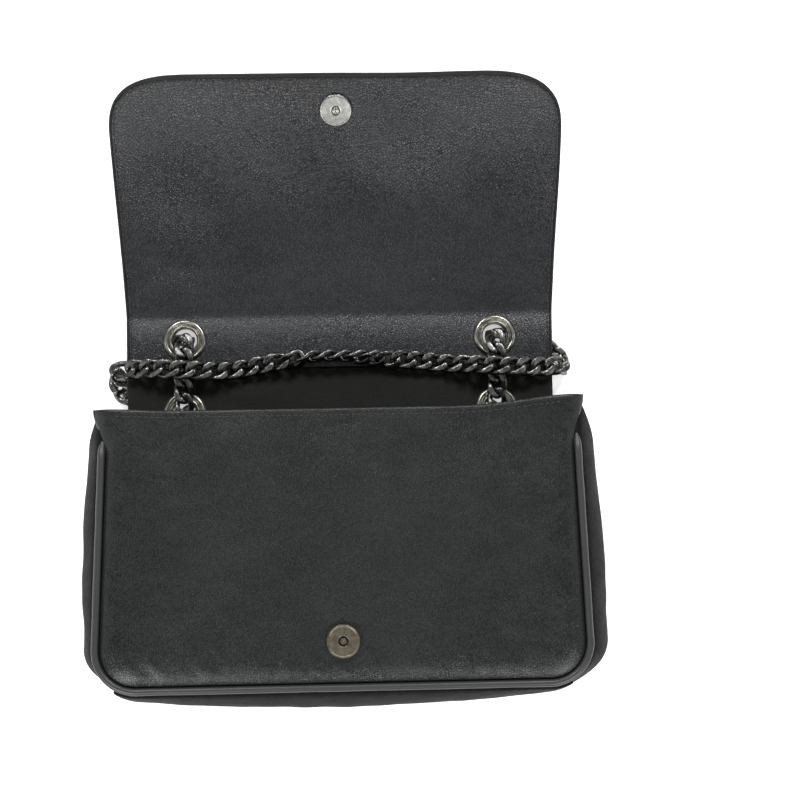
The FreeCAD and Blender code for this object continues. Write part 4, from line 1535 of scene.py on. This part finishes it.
# ---- chain -----------------------------------------------------------------
@dataclass
class CurbChain:
    """Twisted links with ground faces, one threaded stretch and one hanging loop."""

    wire: float = 3.3
    half_l: float = 6.35
    half_w: float = 4.05
    twist: float = 2.4
    face: float = 2.45          # the ground faces lie this far from the middle
    knee: float = 0.45          # and round into the wire over this height
    stations: int = 36
    ring: int = 10
    link_triangles: int = 96    # a link's plain body has this many
    lies_y: float = 88.0
    hangs_y: float = 3.0

    def link(self) -> Mesh:
        """One link about the origin, along X.

        The wire's middle line is (a cos t, b sin t, -c sin 2t): an oval that is twisted, so that
        neighbours lie flat in each other. Its round section is pressed to two parallel faces,
        as grinding leaves it; a hyperbolic tangent rounds their borders.

        Returns:
            Points and quads.
        """
        t = around(self.stations)
        a, b, c = self.half_l, self.half_w, self.twist
        middle = np.stack([a * np.cos(t), b * np.sin(t), -c * np.sin(2 * t)], -1)
        along = np.stack([-a * np.sin(t), b * np.cos(t), -2 * c * np.cos(2 * t)], -1)
        along /= np.linalg.norm(along, axis=1, keepdims=True)
        outer = middle * np.array([1.0, 1.0, 0.0])
        outer -= along * np.sum(outer * along, axis=1, keepdims=True)
        outer /= np.linalg.norm(outer, axis=1, keepdims=True)
        upper = np.cross(along, outer)
        turn = around(self.ring)[None, :, None]
        wire_r = 0.5 * self.wire
        points = middle[:, None] + wire_r * (np.cos(turn) * outer[:, None] + np.sin(turn) * upper[:, None])
        height, start = points[..., 2], self.face - self.knee
        over = np.clip(np.abs(height) - start, 0.0, None)
        pressed = np.sign(height) * (start + self.knee * np.tanh(over / self.knee))
        points[..., 2] = np.where(over > 0.0, pressed, height)
        return points, quads(self.stations, self.ring, True, True)

    def places(self, node: str) -> Tuple[np.ndarray, np.ndarray]:
        """Where the links of a stretch lie, from the spread of each plain link's corners.

        A link is the same after half a turn about any of its three axes, so the directions of
        greatest, middle and least spread give its place.

        Args:
            node: the stretch.

        Returns:
            The links' centres and their axes.
        """
        mesh = frame["nodes"][node].data
        co = np.empty(len(mesh.vertices) * 3, np.float32)
        mesh.vertices.foreach_get("co", co)
        corner = np.empty(len(mesh.loops), np.int32)
        mesh.loops.foreach_get("vertex_index", corner)
        triangles = co.reshape(-1, 3)[corner].astype(float) / MM
        links = triangles.reshape(-1, 3 * self.link_triangles, 3)
        mean = links.mean(1)
        off = links - mean[:, None]
        vectors = np.linalg.eigh(np.einsum("mni,mnj->mij", off, off))[1]
        x_axis, y_axis = vectors[:, :, 2], vectors[:, :, 1]
        LOG.info("%s: %d links", node, len(links))
        return mean, np.stack([x_axis, y_axis, np.cross(x_axis, y_axis)], 1)

    def stretch(self, name: str, node: str) -> Piece:
        """Makes the links of one stretch.

        Args:
            name: the piece's name.
            node: the stretch.

        Returns:
            The piece.
        """
        piece = make_piece(name, *repeated(*self.link(), *self.places(node)))
        outward(piece)
        dress(piece, Finish.GUNMETAL)
        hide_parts(node)
        return piece

    def build(self) -> List[Piece]:
        """Builds both stretches: one goes with the strip, the loop hangs between strip and floor.

        Returns:
            The pieces.
        """
        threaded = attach(self.stretch("chain_threaded_links", "chain_threaded"), "strip")
        loop = self.stretch("chain_loop_links", "chain_loop")
        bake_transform(loop)
        return [threaded, loop]


# ---- studio ----------------------------------------------------------------
@dataclass(frozen=True)
class Lamp:
    """A soft rectangular light that faces the bag's middle, in metres and watts."""

    name: str
    place: Triple
    size: Tuple[float, float]
    power: float

    def build(self) -> None:
        """Makes the light."""
        data = bpy.data.lights.new(self.name, "AREA")
        data.shape, data.energy = "RECTANGLE", self.power
        data.size, data.size_y = self.size
        item = bpy.data.objects.new(self.name, data)
        item.location = self.place
        item.rotation_euler = (Vector() - Vector(self.place)).to_track_quat("-Z", "Y").to_euler()
        bpy.context.scene.collection.objects.link(item)


@dataclass
class Studio:
    """Camera almost straight above the bag, soft lights round it and a white floor."""

    eye_mm: Triple = (13.1, -100.3, 824.4)
    tilt: Triple = (0.1162, -0.0231, -0.0204)
    focal_px: float = 1423.9
    frame_px: float = 800.0
    sensor_mm: float = 36.0
    floor_half: float = 4000.0
    floor_z: float = -0.35
    room: float = 0.09          # how bright the room is beside the lamps
    lamps: Tuple[Lamp, ...] = (
        Lamp("softbox_front_left", (-0.48, -0.78, 0.74), (0.36, 0.36), 7.8),
        Lamp("softbox_front_right", (0.48, -0.78, 0.74), (0.36, 0.36), 7.2),
        Lamp("softbox_far_left", (-0.40, 0.70, 0.80), (0.26, 0.26), 7.0),
        Lamp("softbox_far_right", (0.40, 0.70, 0.80), (0.26, 0.26), 7.6),
        Lamp("softbox_top", (0.00, -0.04, 1.10), (0.20, 0.20), 0.60),
        Lamp("fill_left", (-1.10, 0.00, 0.50), (0.6, 0.9), 2.6),
        Lamp("fill_right", (1.10, 0.05, 0.50), (0.6, 0.9), 2.2))

    def camera(self) -> None:
        """Makes the camera."""
        data = bpy.data.cameras.new("camera")
        data.sensor_fit, data.sensor_width = "HORIZONTAL", self.sensor_mm
        data.lens = self.sensor_mm * self.focal_px / self.frame_px
        data.clip_end = 20.0
        eye = bpy.data.objects.new("camera", data)
        eye.location = Vector(self.eye_mm) * MM
        eye.rotation_euler = Euler(self.tilt, "XYZ")
        bpy.context.scene.collection.objects.link(eye)
        bpy.context.scene.camera = eye

    def floor(self) -> None:
        """Makes the floor: white to the camera and in reflections, keeping soft shadows."""
        far = self.floor_half
        grid = np.array([[(x, y, self.floor_z) for x in (-far, far)] for y in (-far, far)])
        piece = make_piece("floor", grid, quads(2, 2)[:, ::-1])
        material, tree, shader = new_material("white_paper")
        shader.inputs["Base Color"].default_value = (0.9, 0.9, 0.9, 1.0)
        shader.inputs["Roughness"].default_value = 0.95
        shader.inputs["Specular IOR Level"].default_value = 0.0
        path = add_node(tree, "ShaderNodeLightPath").outputs
        seen = add_node(tree, "ShaderNodeMath", {0: path["Is Camera Ray"], 1: path["Is Glossy Ray"]},
                        operation="MAXIMUM")
        also = add_node(tree, "ShaderNodeMath", {0: seen.outputs[0], 1: path["Is Transmission Ray"]},
                        operation="MAXIMUM")
        glow = add_node(tree, "ShaderNodeMath", {0: also.outputs[0]}, {1: 0.5}, operation="MULTIPLY")
        tree.links.new(glow.outputs[0], shader.inputs["Emission Strength"])
        shader.inputs["Emission Color"].default_value = (1.0, 1.0, 1.0, 1.0)
        piece.data.materials.append(material)

    def world(self) -> None:
        """Makes a soft grey room; the floor is what the camera sees behind the bag."""
        world = bpy.data.worlds.new("room")
        bpy.context.scene.world = world
        world.use_nodes = True
        tree = world.node_tree
        tree.nodes.clear()
        back = add_node(tree, "ShaderNodeBackground",
                        values={"Color": (1.0, 1.0, 1.0, 1.0), "Strength": self.room})
        add_node(tree, "ShaderNodeOutputWorld", {"Surface": back.outputs[0]})

    def build(self) -> None:
        """Builds the studio."""
        self.camera()
        for lamp in self.lamps:
            lamp.build()
        self.floor()
        self.world()
        bpy.context.scene.view_settings.view_transform = "Standard"


def main() -> None:
    """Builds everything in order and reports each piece."""
    logging.basicConfig(level=logging.INFO, format="%(message)s")
    Studio().build()
    for assembly in (CurbChain(), Pouch(), FoldingTop(), Hardware()):
        for piece in assembly.build():
            finish = piece.data.materials[0].name
            LOG.info("%s: %s, %d faces, %s", type(assembly).__name__, piece.name,
                     len(piece.data.polygons), finish)


if __name__ == "__main__":
    main()
